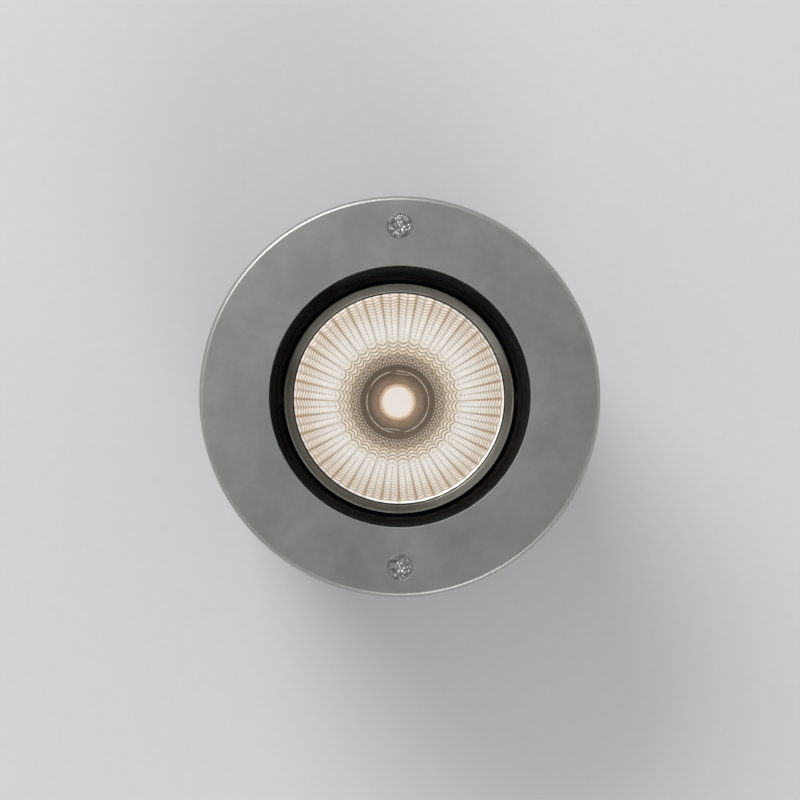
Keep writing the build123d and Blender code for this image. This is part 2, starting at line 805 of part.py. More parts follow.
with BuildPart() as heat_sink:
    with BuildSketch(Plane.XY.offset(fin_top)):
        Circle(sink_radius)
    extrude(amount=sink_plate_thickness)
    with BuildSketch(Plane.XY.offset(sink_bottom)):
        with PolarLocations(0, sink_fin_count):
            Rectangle(sink_radius - fit_gap, sink_fin_thickness, align=(Align.MIN, Align.CENTER))
        Circle(sink_core_radius)
    extrude(amount=sink_fin_height)
    with Locations((0, 0, sink_top)):
        with PolarLocations(cage_screw_circle, cage_arm_count, start_angle=180 / cage_arm_count):
            Hole(m3_shank + fit_gap, depth=cage_screw_length - cage_foot_thickness + fit_gap)
        with PolarLocations(holder_screw_circle, 2):
            Hole(m3_shank + fit_gap, depth=holder_screw_length - holder_ear_height + fit_gap)
finish(heat_sink, "heat_sink")

# Rubber grommet that carries the light source's leads through the floor
with BuildPart() as lead_grommet:
    with Locations((lead_x, lead_y)):
        add(tube(grommet_waist, grommet_bore, floor_top + grommet_lip, floor_bottom - grommet_lip))
        add(tube(grommet_flange, grommet_bore, floor_top + grommet_lip, floor_top))
        add(tube(grommet_flange, grommet_bore, floor_bottom, floor_bottom - grommet_lip))
finish(lead_grommet, "lead_grommet")

# Driver and terminal block, hung under the floor
with BuildPart() as driver:
    with BuildSketch(Plane.XY.offset(floor_bottom)):
        with Locations((0, driver_offset)):
            Rectangle(driver_length, driver_width)
    extrude(amount=-driver_height)
    fillet(driver.edges().filter_by(Axis.Z), driver_edge)
    with BuildSketch(Plane.XY.offset(floor_bottom)):
        with Locations(*driver_screw_places):
            Rectangle(driver_tab_length, driver_tab_width)
            Circle(m3_shank + bolt_gap, mode=Mode.SUBTRACT)
    extrude(amount=-driver_tab_thickness)
finish(driver, "driver")

with BuildPart() as driver_screws:
    with Locations(*driver_screw_places):
        add(
            pan_head_screw(
                floor_bottom - driver_tab_thickness,
                driver_tab_thickness + tapped_depth,
                m3_shank,
                m3_head,
            )
        )
finish(driver_screws, "driver_screws")

with BuildPart() as terminal_block:
    with BuildSketch(Plane.XY.offset(floor_bottom)):
        with Locations((0, terminal_offset)):
            Rectangle(terminal_length, terminal_width)
    extrude(amount=-terminal_height)
    with Locations((0, terminal_offset, floor_bottom - terminal_height)):
        with GridLocations(terminal_pitch, terminal_width / 2, terminal_poles, 2):
            Cylinder(
                terminal_screw_radius + fit_gap,
                terminal_screw_height + fit_gap,
                align=(Align.CENTER, Align.CENTER, Align.MIN),
                mode=Mode.SUBTRACT,
            )
    with BuildSketch(Plane.XZ.offset(-terminal_offset - terminal_width / 2)):
        with Locations((0, floor_bottom - 0.6 * terminal_height)):
            with GridLocations(terminal_pitch, 0, terminal_poles, 1):
                Circle(terminal_entry_radius)
    extrude(amount=terminal_width, mode=Mode.SUBTRACT)
    with BuildSketch(Plane.XY.offset(floor_bottom - terminal_height)):
        with Locations(*terminal_fixing_places):
            Circle(m3_shank + bolt_gap)
    extrude(amount=terminal_height, mode=Mode.SUBTRACT)
finish(terminal_block, "terminal_block")

with BuildPart() as terminal_screws:
    with Locations((0, terminal_offset, floor_bottom - terminal_height)):
        with GridLocations(terminal_pitch, terminal_width / 2, terminal_poles, 2):
            Cylinder(
                terminal_screw_radius,
                terminal_screw_height,
                align=(Align.CENTER, Align.CENTER, Align.MIN),
            )
            Box(
                2 * terminal_screw_radius,
                0.3 * terminal_screw_radius,
                0.3 * terminal_screw_height,
                align=(Align.CENTER, Align.CENTER, Align.MIN),
                mode=Mode.SUBTRACT,
            )
finish(terminal_screws, "terminal_screws")

with BuildPart() as terminal_fixings:
    with Locations(*terminal_fixing_places):
        add(
            pan_head_screw(
                floor_bottom - terminal_height, terminal_height + tapped_depth, m3_shank, m3_head
            )
        )
finish(terminal_fixings, "terminal_fixings")

with BuildPart() as earth_screw:
    with Locations((-lead_x, lead_y)):
        add(pan_head_screw(floor_bottom, tapped_depth, m3_shank, m3_head))
finish(earth_screw, "earth_screw")

# Bottom cover with its seal
with BuildPart() as bottom_cover:
    with BuildSketch(Plane.XY.offset(cover_bottom)):
        Circle(cover_radius)
        with PolarLocations(cover_screw_circle, cover_screw_count):
            Circle(m3_shank + bolt_gap, mode=Mode.SUBTRACT)
        with Locations(*gland_places):
            Circle(gland_thread + fit_gap, mode=Mode.SUBTRACT)
        with Locations((0, breather_offset)):
            Circle(breather_thread + fit_gap, mode=Mode.SUBTRACT)
    extrude(amount=cover_thickness)
    add(
        tube(seal_outer + fit_gap, seal_inner - fit_gap, rim_bottom, rim_bottom - seal_height),
        mode=Mode.SUBTRACT,
    )
finish(bottom_cover, "bottom_cover")

with BuildPart() as cover_seal:
    add(tube(seal_outer, seal_inner, rim_bottom, rim_bottom - seal_height))
finish(cover_seal, "cover_seal")

with BuildPart() as cover_screws:
    with PolarLocations(cover_screw_circle, cover_screw_count):
        add(pan_head_screw(cover_bottom, cover_screw_length, m3_shank, m3_head))
finish(cover_screws, "cover_screws")

# Cable glands: body through the cover, sealing washer, locknut, rubber seal and cap
with BuildPart() as gland_body:
    with BuildSketch(Plane.XY.offset(gland_hex_bottom)):
        RegularPolygon(gland_flats / 2, 6, major_radius=False)
    extrude(amount=gland_hex)
    add(tube(gland_thread, 0, gland_end, gland_hex_bottom))
    add(tube(gland_neck_radius, 0, gland_hex_bottom, gland_neck_bottom))
    add(tube(gland_bore, 0, gland_end, gland_neck_bottom), mode=Mode.SUBTRACT)
    add(tube(gland_seal_radius + fit_gap, 0, gland_seal_top, gland_neck_bottom), mode=Mode.SUBTRACT)
with BuildPart() as gland_bodies:
    with Locations(*gland_places):
        add(gland_body.part)
finish(gland_bodies, "gland_bodies")

with BuildPart() as gland_washers:
    with Locations(*gland_places):
        add(tube(gland_flats / 2, gland_thread + fit_gap, cover_bottom, gland_washer_bottom))
finish(gland_washers, "gland_washers")

with BuildPart() as gland_locknuts:
    with BuildSketch(Plane.XY.offset(rim_bottom)):
        with Locations(*gland_places):
            RegularPolygon(gland_flats / 2, 6, major_radius=False)
            Circle(gland_thread + fit_gap, mode=Mode.SUBTRACT)
    extrude(amount=gland_locknut)
finish(gland_locknuts, "gland_locknuts")

with BuildPart() as gland_seals:
    with Locations(*gland_places):
        add(tube(gland_seal_radius, cable_radius, gland_seal_top, gland_seal_bottom))
finish(gland_seals, "gland_seals")

with BuildPart() as gland_cap:
    with BuildSketch(Plane.XY.offset(gland_cap_hex_bottom)):
        RegularPolygon(gland_flats / 2, 6, major_radius=False)
    extrude(amount=gland_cap_hex)
    add(
        turned(
            [
                (0, gland_cap_hex_bottom),
                (gland_flats / 2, gland_cap_hex_bottom),
                (gland_seal_radius, gland_cap_bottom),
                (0, gland_cap_bottom),
            ]
        )
    )
    add(tube(gland_neck_radius + fit_gap, 0, gland_cap_top, gland_neck_bottom), mode=Mode.SUBTRACT)
    add(
        tube(gland_seal_radius + fit_gap, 0, gland_neck_bottom, gland_seal_bottom),
        mode=Mode.SUBTRACT,
    )
    add(tube(gland_cap_mouth, 0, gland_seal_bottom, gland_cap_bottom), mode=Mode.SUBTRACT)
with BuildPart() as gland_caps:
    with Locations(*gland_places):
        add(gland_cap.part)
finish(gland_caps, "gland_caps")

# Breather that lets the chamber equalise its pressure
with BuildPart() as breather_plug:
    with BuildSketch(Plane.XY.offset(cover_bottom)):
        with Locations((0, breather_offset)):
            RegularPolygon(breather_flats / 2, 6, major_radius=False)
    extrude(amount=-breather_head)
    with Locations((0, breather_offset)):
        add(tube(breather_thread, 0, rim_bottom + breather_nut + fit_gap, cover_bottom))
        add(
            tube(breather_bore, 0, rim_bottom + breather_nut + fit_gap, cover_bottom - breather_head / 2),
            mode=Mode.SUBTRACT,
        )
    with Locations((0, breather_offset, cover_bottom - breather_head / 2)):
        Cylinder(
            breather_vent, breather_flats * 2, rotation=(0, 90, 0), mode=Mode.SUBTRACT
        )
finish(breather_plug, "breather_plug")

with BuildPart() as breather_locknut:
    with BuildSketch(Plane.XY.offset(rim_bottom)):
        with Locations((0, breather_offset)):
            RegularPolygon(breather_flats / 2, 6, major_radius=False)
            Circle(breather_thread + fit_gap, mode=Mode.SUBTRACT)
    extrude(amount=breather_nut)
finish(breather_locknut, "breather_locknut")

# Ground sleeve: plain outside with key grooves, ribs and screw bosses inside, foot at the bottom
with BuildPart() as ground_sleeve:
    add(tube(sleeve_outer, sleeve_inner, 0, sleeve_bottom))
    add(
        tube(
            sleeve_outer,
            sleeve_outer - sleeve_foot_width,
            sleeve_bottom + sleeve_foot_thickness,
            sleeve_bottom,
        )
    )
    with BuildSketch(Plane.XY.offset(flange_bottom)):
        with PolarLocations(
            sleeve_inner + sleeve_wall / 2, sleeve_rib_count, start_angle=180 / sleeve_rib_count
        ):
            Rectangle(
                sleeve_rib_depth + sleeve_wall / 2,
                sleeve_rib_thickness,
                align=(Align.MAX, Align.CENTER),
            )
    extrude(until=Until.NEXT, dir=(0, 0, -1))
    with BuildSketch(Plane.XY.offset(flange_bottom)):
        with PolarLocations(screw_circle, 2, start_angle=90):
            Circle(boss_radius)
            Rectangle(
                sleeve_inner + sleeve_wall / 2 - screw_circle,
                1.4 * boss_radius,
                align=(Align.MIN, Align.CENTER),
            )
    extrude(amount=-boss_depth)
    with Locations((0, 0, flange_bottom)):
        with PolarLocations(screw_circle, 2, start_angle=90):
            Hole(insert_radius, depth=insert_length)
            Hole(m5_shank + bolt_gap, depth=boss_depth - sleeve_wall)
    for groove in range(key_groove_count):
        groove_height = -sleeve_smooth - groove * key_groove_pitch
        add(
            tube(
                sleeve_outer + drop_in_gap,
                sleeve_outer - key_groove_depth,
                groove_height,
                groove_height - key_groove_width,
            ),
            mode=Mode.SUBTRACT,
        )
    slot_height = sleeve_bottom + 2 * sleeve_foot_thickness + cable_slot_height / 2
    with BuildSketch(Plane.YZ):
        with Locations((0, slot_height)):
            SlotOverall(cable_slot_height, cable_slot_width, rotation=90)
    extrude(amount=2 * sleeve_outer, both=True, mode=Mode.SUBTRACT)
finish(ground_sleeve, "ground_sleeve")

with BuildPart() as sleeve_inserts:
    with PolarLocations(screw_circle, 2, start_angle=90):
        add(tube(insert_radius, m5_shank + fit_gap, flange_bottom, flange_bottom - insert_length))
finish(sleeve_inserts, "sleeve_inserts")
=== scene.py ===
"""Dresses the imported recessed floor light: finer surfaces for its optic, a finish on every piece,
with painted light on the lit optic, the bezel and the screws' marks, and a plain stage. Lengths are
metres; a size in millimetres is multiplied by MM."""

import math

import bpy
import numpy as np
from bpy.props import FloatProperty, FloatVectorProperty, IntProperty, PointerProperty
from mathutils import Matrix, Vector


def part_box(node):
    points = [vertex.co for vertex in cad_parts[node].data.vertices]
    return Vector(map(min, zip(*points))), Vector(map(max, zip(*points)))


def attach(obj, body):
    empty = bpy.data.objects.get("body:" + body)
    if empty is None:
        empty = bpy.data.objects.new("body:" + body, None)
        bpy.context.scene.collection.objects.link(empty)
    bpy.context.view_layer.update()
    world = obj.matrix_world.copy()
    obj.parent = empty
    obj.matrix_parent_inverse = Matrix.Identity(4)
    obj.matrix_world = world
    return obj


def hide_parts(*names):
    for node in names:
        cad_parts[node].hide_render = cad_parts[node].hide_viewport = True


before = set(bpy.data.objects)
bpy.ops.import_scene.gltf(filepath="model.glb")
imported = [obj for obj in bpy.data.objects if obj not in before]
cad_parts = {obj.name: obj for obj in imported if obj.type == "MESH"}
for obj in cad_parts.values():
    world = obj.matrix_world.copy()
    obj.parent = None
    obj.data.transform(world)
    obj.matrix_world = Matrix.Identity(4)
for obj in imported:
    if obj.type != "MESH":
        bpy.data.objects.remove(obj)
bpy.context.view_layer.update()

bl_info = {
    "name": "Recessed floor light",
    "version": (1, 0, 0),
    "blender": (4, 5, 0),
    "location": "View3D > Sidebar > Floor light",
    "description": "Dresses the packed floor light and sets its stage",
    "category": "Object",
}


def corner(name):
    """Lowest and highest corner of a node of the frame, as arrays in metres."""
    low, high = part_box(name)
    return np.array(low), np.array(high)


def srgb(code):
    """Linear RGBA of an sRGB hex colour."""
    parts = [int(code[i : i + 2], 16) / 255 for i in (1, 3, 5)]
    return tuple(p / 12.92 if p <= 0.04045 else ((p + 0.055) / 1.055) ** 2.4 for p in parts) + (1.0,)


MM = 0.001

# Places of the frame that the new pieces are worked out from
TRIM_TOP = corner("trim_ring")[1][2]
SLEEVE_FOOT = corner("ground_sleeve")[0][2]
REFLECTOR_LOW, REFLECTOR_HIGH = corner("reflector")
BEZEL_LOW, BEZEL_HIGH = corner("optic_bezel")
DISC_LOW, DISC_HIGH = corner("phosphor_disc")
DAM_LOW, DAM_HIGH = corner("dam_ring")

# Sides of a round piece, and the rows that keep a wide strip straight under smooth shading: how
# far they lie from its edges, and how many such gaps wide a strip is at least
ROUND_SIDES = 192
SMALL_SIDES = 96
SUPPORT_GAP = 0.04 * MM
WIDE_STRIP = 5

# Reflector: grid steps across a flute and along a row, the shares of its height over which the
# flutes fade in at the neck and out at the rim, its rolled lip, and the flange that carries it
FLUTE_STEPS = 12
ROW_STEPS = 4
NECK_FADE = 0.08
RIM_FADE = 0.05
CURVE_POINTS = 2001
LIP_INSIDE = 0.25 * MM
LIP_OUTSIDE = 0.4 * MM
LIP_EDGE = 0.15 * MM
LIP_DEPTH = 0.5 * MM
FLANGE_EDGE = 0.1 * MM
FLANGE_DEPTH = 1.5 * MM
WALL = 1.2 * MM
WALL_START = 0.96
WALL_ROWS = 12

# Phosphor's dome and its dam
DOME_HUB = 0.02
DOME_ROWS = 14
DAM_CLEARANCE = 0.1 * MM

# Aperture of the holder: radius of its circle, distance of its two flats from the axis, and the
# bearings in degrees where a flat has its middle, starts and stops
APERTURE_RADIUS = 12.3 * MM
FLAT_DISTANCE = 11.1 * MM
FLAT_MIDDLE = 82.0
FLAT_START = 59.0
FLAT_STOP = 94.5
FLAT_INSET = 0.4 * MM

# Thin beads that catch the light: their radii, their middles' places from the edge that each
# lies on, and the sides of their path and section
CIRCLE_BEAD = 0.13 * MM
FLAT_BEAD = 0.08 * MM
NECK_BEAD = 0.28 * MM
NECK_BEAD_OUT = -0.25 * MM
NECK_BEAD_RISE = 0.55 * MM
RIM_BEAD = 0.25 * MM
RIM_BEAD_OUT = 0.15 * MM
RIM_BEAD_DROP = 0.26 * MM
BEAD_RISE = 0.05 * MM
BEAD_STEPS = 720
BEAD_SIDES = 8
RIM_SIDES = 288

# Bezel: its face's width and fall outwards, the radius of its edges, and the thickness and width
# of the plate and the skirt under it
FACE_WIDTH = 3.2 * MM
FACE_FALL = 0.4 * MM
FACE_EDGE = 0.22 * MM
PLATE_DEPTH = 0.8 * MM
PLATE_WIDTH = 1.5 * MM
SKIRT_HEIGHT = 1.0 * MM
SKIRT_WALL = 0.6 * MM
SKIRT_EDGE = 0.1 * MM

# Trim screw: shank, rim and edge of its head, the mean radius of the recess and the swing of its
# lobes, the recess' bevel, wall and dish, the pin in it, and the circle of marks round it
SHANK = 2.5 * MM
HEAD_RIM = 0.2 * MM
HEAD_EDGE = 0.08 * MM
LOBES = 6
LOBE_MEAN = 1.95 * MM
LOBE_SWING = 0.28 * MM
RECESS_BEVEL = 0.25 * MM
RECESS_WALL = 0.95 * MM
RECESS_TAPER = 0.1 * MM
DISH_RADIUS = 0.72 * MM
DISH_DEPTH = 1.45 * MM
PIN_RADIUS = 0.60 * MM
PIN_FOOT = 1.35 * MM
PIN_EDGE = 0.60 * MM
PIN_TOP_RADIUS = 0.45 * MM
PIN_TOP = 0.48 * MM
MARK_CIRCLE = 3.3 * MM

# Wiping strokes on the steel: direction in radians, length and width in millimetres
WIPING = ((0.5, 14, 0.5), (1.3, 18, 0.6), (2.2, 11, 0.45), (2.9, 16, 0.5))

# Bearings in degrees, clockwise from +X: the side of the reflector's rim with a painted highlight,
# and the short stretch of the bezel with painted light
RIM_GLINT = 55.0
PAINTED_LIGHT_STRETCH = 45.0

# Mean tone of the painted reflection in the bowl, from neck to rim
BOWL_PAINTED_TONES = (
    (0.0, "#827364"),
    (0.05, "#927f6c"),
    (0.12, "#bda587"),
    (0.20, "#d8c6ab"),
    (0.27, "#e3d9c9"),
    (0.35, "#e4dccf"),
    (0.50, "#dcd8d1"),
    (0.65, "#d9d2c7"),
    (0.80, "#cbb597"),
    (0.92, "#c5ac8b"),
    (1.0, "#d3c3b0"),
)

# Stage: the floor's radius, its middle fan's share of it, and how far it lies under the sleeve's
# foot so that no two faces share a plane; the point of the trim's plane in the picture's middle;
# and each lamp's name, place, width in metres and power in watts
FLOOR_RADIUS = 4.0
FLOOR_HUB = 0.01
FLOOR_GAP = 0.05 * MM
AIM_Y = -1.5 * MM
LAMPS = (
    ("softbox", (-0.6, 1.05, 1.4), 0.9, 17.0),
    ("fill", (0.35, -1.0, 1.25), 0.8, 5.5),
)
SKY_STRENGTH = 0.97
SENSOR_WIDTH = 36.0


# Sizes and colours that a user would change


class FloorLightReflector(bpy.types.PropertyGroup):
    """The facets of the reflector"""

    flutes: IntProperty(name="Flutes", description="Flutes round the bowl", default=36, min=3)
    rows: IntProperty(name="Rows", description="Rows of facets from neck to rim", default=21, min=2)
    flute_depth: FloatProperty(
        name="Flute depth", description="How far a flute stands inwards",
        default=0.8 * MM, unit="LENGTH",
    )
    cushion_depth: FloatProperty(
        name="Cushion depth", description="Crown of a facet along a flute",
        default=0.12 * MM, unit="LENGTH",
    )
    neck_radius: FloatProperty(
        name="Neck radius", description="Inner radius at the light source",
        default=14.8 * MM, unit="LENGTH",
    )
    rim_radius: FloatProperty(
        name="Rim radius", description="Inner radius at the bezel",
        default=40.2 * MM, unit="LENGTH",
    )
    # Strength of the painted reflection that the facets glow with as emission; they are no lamp
    glow: FloatProperty(
        name="Glow", description="Strength of the light that the facets pass on",
        default=0.79, min=0,
    )
    metal: FloatVectorProperty(
        name="Metal", description="Colour of the bright coating",
        default=srgb("#77797f"), min=0, max=1, subtype="COLOR", size=4,
    )


class FloorLightSource(bpy.types.PropertyGroup):
    """The light source"""

    crown: FloatProperty(
        name="Crown", description="Rise of the phosphor's middle",
        default=0.25 * MM, unit="LENGTH",
    )
    light: FloatVectorProperty(
        name="Light", description="Colour of the lit phosphor",
        default=srgb("#f0eaf2"), min=0, max=1, subtype="COLOR", size=4,
    )
    strength: FloatProperty(
        name="Strength", description="Strength of the lit phosphor", default=0.78, min=0
    )


class FloorLightFinish(bpy.types.PropertyGroup):
    """Colours of the outer finishes"""

    steel: FloatVectorProperty(
        name="Steel", description="Blasted stainless steel",
        default=srgb("#aaaba8"), min=0, max=1, subtype="COLOR", size=4,
    )
    bezel: FloatVectorProperty(
        name="Bezel", description="Satin anodised bezel",
        default=srgb("#968b7f"), min=0, max=1, subtype="COLOR", size=4,
    )


class FloorLightStage(bpy.types.PropertyGroup):
    """Camera and floor"""

    distance: FloatProperty(
        name="Camera height", description="Camera above the trim", default=1.0, unit="LENGTH"
    )
    offset_x: FloatProperty(
        name="Camera offset X", description="Camera beside the light's axis",
        default=-14 * MM, unit="LENGTH",
    )
    offset_y: FloatProperty(
        name="Camera offset Y", description="Camera beside the light's axis",
        default=-36 * MM, unit="LENGTH",
    )
    frame_width: FloatProperty(
        name="Frame width", description="Width seen at the trim",
        default=298.4 * MM, unit="LENGTH",
    )
    floor: FloatVectorProperty(
        name="Floor", description="Colour of the pale floor",
        default=srgb("#d8d8d9"), min=0, max=1, subtype="COLOR", size=4,
    )


# Shared helpers for surfaces


def skin(name, grid, material, wrap_rows=False, ends=(False, False), uv=None):
    """A mesh over a grid of points, shape (rows, columns, 3), closed round the columns. wrap_rows
    joins the last row to the first; ends closes the first or last row with a fan. uv has the
    shape (rows + wrap, columns + 1, 2)."""
    rows, columns = grid.shape[:2]
    points = grid.reshape(-1, 3)
    row = np.arange(rows if wrap_rows else rows - 1)[:, None]
    column = np.arange(columns)[None, :]
    above, beside = (row + 1) % rows, (column + 1) % columns
    quads = np.stack(
        [
            row * columns + column,
            row * columns + beside,
            above * columns + beside,
            above * columns + column,
        ],
        axis=-1,
    ).reshape(-1, 4)
    corners = [quads.reshape(-1)]
    sizes = [np.full(len(quads), 4)]
    for wanted, base, turn in zip(ends, (0, rows - 1), (-1, 1)):
        if wanted:
            points = np.vstack([points, grid[base].mean(axis=0)])
            hub = np.full(columns, len(points) - 1)
            edge = base * columns + np.arange(columns)
            pair = [edge, np.roll(edge, -1)][::turn]
            corners.append(np.stack([pair[0], pair[1], hub], axis=-1).reshape(-1))
            sizes.append(np.full(columns, 3))
    corners, sizes = np.concatenate(corners), np.concatenate(sizes)
    starts = np.concatenate([[0], np.cumsum(sizes)[:-1]])
    mesh = bpy.data.meshes.new(name)
    mesh.vertices.add(len(points))
    mesh.vertices.foreach_set("co", points.reshape(-1).astype(np.float32))
    mesh.loops.add(len(corners))
    mesh.loops.foreach_set("vertex_index", corners.astype(np.int32))
    mesh.polygons.add(len(sizes))
    mesh.polygons.foreach_set("loop_start", starts.astype(np.int32))
    mesh.polygons.foreach_set("use_smooth", np.ones(len(sizes), bool))
    if uv is not None:
        layer = mesh.uv_layers.new(name="flutes")
        places = np.zeros((len(corners), 2))
        places[: 4 * len(quads)] = np.stack(
            [uv[row, column], uv[row, column + 1], uv[row + 1, column + 1], uv[row + 1, column]],
            axis=-2,
        ).reshape(-1, 2)
        layer.data.foreach_set("uv", places.reshape(-1).astype(np.float32))
    mesh.update(calc_edges=True)
    mesh.validate()
    mesh.materials.append(material)
    made = bpy.data.objects.new(name, mesh)
    bpy.context.scene.collection.objects.link(made)
    return made


def supported(grid, closed):
    """The grid with two more rows beside each wide strip, a gap from its two edges, so that
    smooth shading leaves the strip as flat or as straight as it is."""
    ahead = np.roll(grid, -1, axis=0)
    width = np.linalg.norm(ahead - grid, axis=2).mean(axis=1)
    step = (ahead - grid) * (SUPPORT_GAP / np.maximum(width, SUPPORT_GAP))[:, None, None]
    wide = width > WIDE_STRIP * SUPPORT_GAP
    if not closed:
        wide[-1] = False
    rows = np.stack([grid, grid + step, ahead - step], axis=1)
    keep = np.stack([np.full(len(grid), True), wide, wide], axis=1)
    return rows.reshape(-1, *grid.shape[1:])[keep.reshape(-1)]


def turned(name, profile, material, columns=ROUND_SIDES, wrap_rows=True, ends=(False, False)):
    """A surface of revolution: each (radius, height) of the profile is carried round the axis as
    (radius cos t, radius sin t, height). A profile that runs anticlockwise, seen with the radius
    to the right, has its faces outwards."""
    profile = np.asarray(profile, float)
    angle = np.linspace(0, 2 * math.pi, columns, endpoint=False)
    radius, height = profile[:, :1], profile[:, 1:]
    grid = np.stack(
        [radius * np.cos(angle), radius * np.sin(angle), height + 0 * angle], axis=-1
    )
    return skin(name, supported(grid, wrap_rows), material, wrap_rows=wrap_rows, ends=ends)


def arc(centre, radius, start, stop, count):
    """Points (x + r cos t, y + r sin t) of a circular arc in the profile plane, angles in
    degrees."""
    angle = np.radians(np.linspace(start, stop, count))
    return np.stack(
        [centre[0] + radius * np.cos(angle), centre[1] + radius * np.sin(angle)], axis=-1
    )


def round_bead(centre, radius):
    """A full circle of the profile plane, as the section of a bead."""
    return arc(centre, radius, 0, 337.5, 16)


# Shared helpers for finishes


def node(tree, kind, *inputs, **settings):
    """Adds a shader node with its settings and links, and returns it. inputs are the values of
    its first sockets in order, or one dictionary from sockets to values. A value is a constant,
    an output, or a node, which stands for its first output."""
    made = tree.nodes.new("ShaderNode" + kind)
    for key, value in settings.items():
        setattr(made, key, value)
    named = inputs[0] if inputs and isinstance(inputs[0], dict) else dict(enumerate(inputs))
    for key, value in named.items():
        if isinstance(value, bpy.types.Node):
            value = value.outputs[0]
        if isinstance(value, bpy.types.NodeSocket):
            tree.links.new(value, made.inputs[key])
        else:
            made.inputs[key].default_value = value
    return made


def polar(tree):
    """Radius and bearing about the light's axis, and height, of each point of a piece."""
    parts = node(tree, "SeparateXYZ", node(tree, "TexCoord").outputs["Object"]).outputs
    across = node(tree, "Math", parts[0], parts[0], operation="MULTIPLY")
    squares = node(tree, "Math", parts[1], parts[1], across, operation="MULTIPLY_ADD")
    radius = node(tree, "Math", squares, operation="SQRT")
    bearing = node(tree, "Math", parts[1], parts[0], operation="ARCTAN2")
    return radius, bearing, parts[2]


def off_centre(tree, value):
    """Distance of a value from the middle of its whole-number cell, 0 to 0.5."""
    part = node(tree, "Math", value, operation="FRACT")
    shifted = node(tree, "Math", part, 0.5, operation="SUBTRACT")
    return node(tree, "Math", shifted, operation="ABSOLUTE")


def bulge(tree, value, full):
    """1 in the middle and 0 at value = full, falling with the square."""
    part = node(tree, "Math", value, full, operation="DIVIDE")
    square = node(tree, "Math", part, part, operation="MULTIPLY")
    return node(tree, "Math", 1.0, square, operation="SUBTRACT")


def overlaid(tree, colour, *layers):
    """Colours laid over one another. A layer is where it lies, from 0 to 1, a strength that
    scales it, and its sRGB colour."""
    for where, strength, code in layers:
        share = node(tree, "Math", where, strength, operation="MULTIPLY")
        mixed = node(tree, "Mix", {0: share, 6: colour, 7: srgb(code)}, data_type="RGBA")
        colour = mixed.outputs[2]
    return colour


def empty_material(name):
    """A material with its node tree cleared, and that tree."""
    made = bpy.data.materials.new(name)
    made.use_nodes = True
    made.node_tree.nodes.clear()
    return made, made.node_tree


def finished(
    name,
    colour,
    shade,
    grain_mm,
    blotch_mm,
    roughness,
    spread=0.06,
    depth_mm=0.01,
    metallic=0.0,
    **sockets,
):
    """A plain finish: two tones in blotches of blotch_mm, and a grain of grain_mm that roughens
    and dents the surface by depth_mm. Grains finer than 0.3 mm on the real piece are drawn as
    coarse as that, or they wouldn't show."""
    made, tree = empty_material(name)
    place = node(tree, "TexCoord").outputs["Object"]
    blotch = node(tree, "TexNoise", {"Vector": place, "Scale": 1 / (blotch_mm * MM), "Detail": 4.0})
    fine = node(tree, "TexNoise", {"Vector": place, "Scale": 1 / (grain_mm * MM), "Detail": 2.0})
    tone = node(tree, "Math", blotch, 0.7, operation="MULTIPLY")
    tone = node(tree, "Math", fine, 0.3, tone, operation="MULTIPLY_ADD")
    shaded = node(tree, "MapRange", tone, 0.35, 0.65)
    inputs = {
        "Base Color": overlaid(tree, srgb(colour), (shaded, 1.0, shade)),
        "Roughness": node(tree, "MapRange", tone, 0.3, 0.7, roughness - spread, roughness + spread),
        "Normal": node(tree, "Bump", {"Height": fine, "Distance": depth_mm * MM}),
        "Metallic": metallic,
    }
    inputs.update({key.replace("_", " "): value for key, value in sockets.items()})
    node(tree, "OutputMaterial", {"Surface": node(tree, "BsdfPrincipled", inputs)})
    return made


def dress(material, *names):
    """Gives nodes of the frame a finish."""
    for name in names:
        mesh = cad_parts[name].data
        if not mesh.materials:
            mesh.materials.append(material)
        for index in range(len(mesh.materials)):
            mesh.materials[index] = material


# Finishes of the pieces that the photo shows


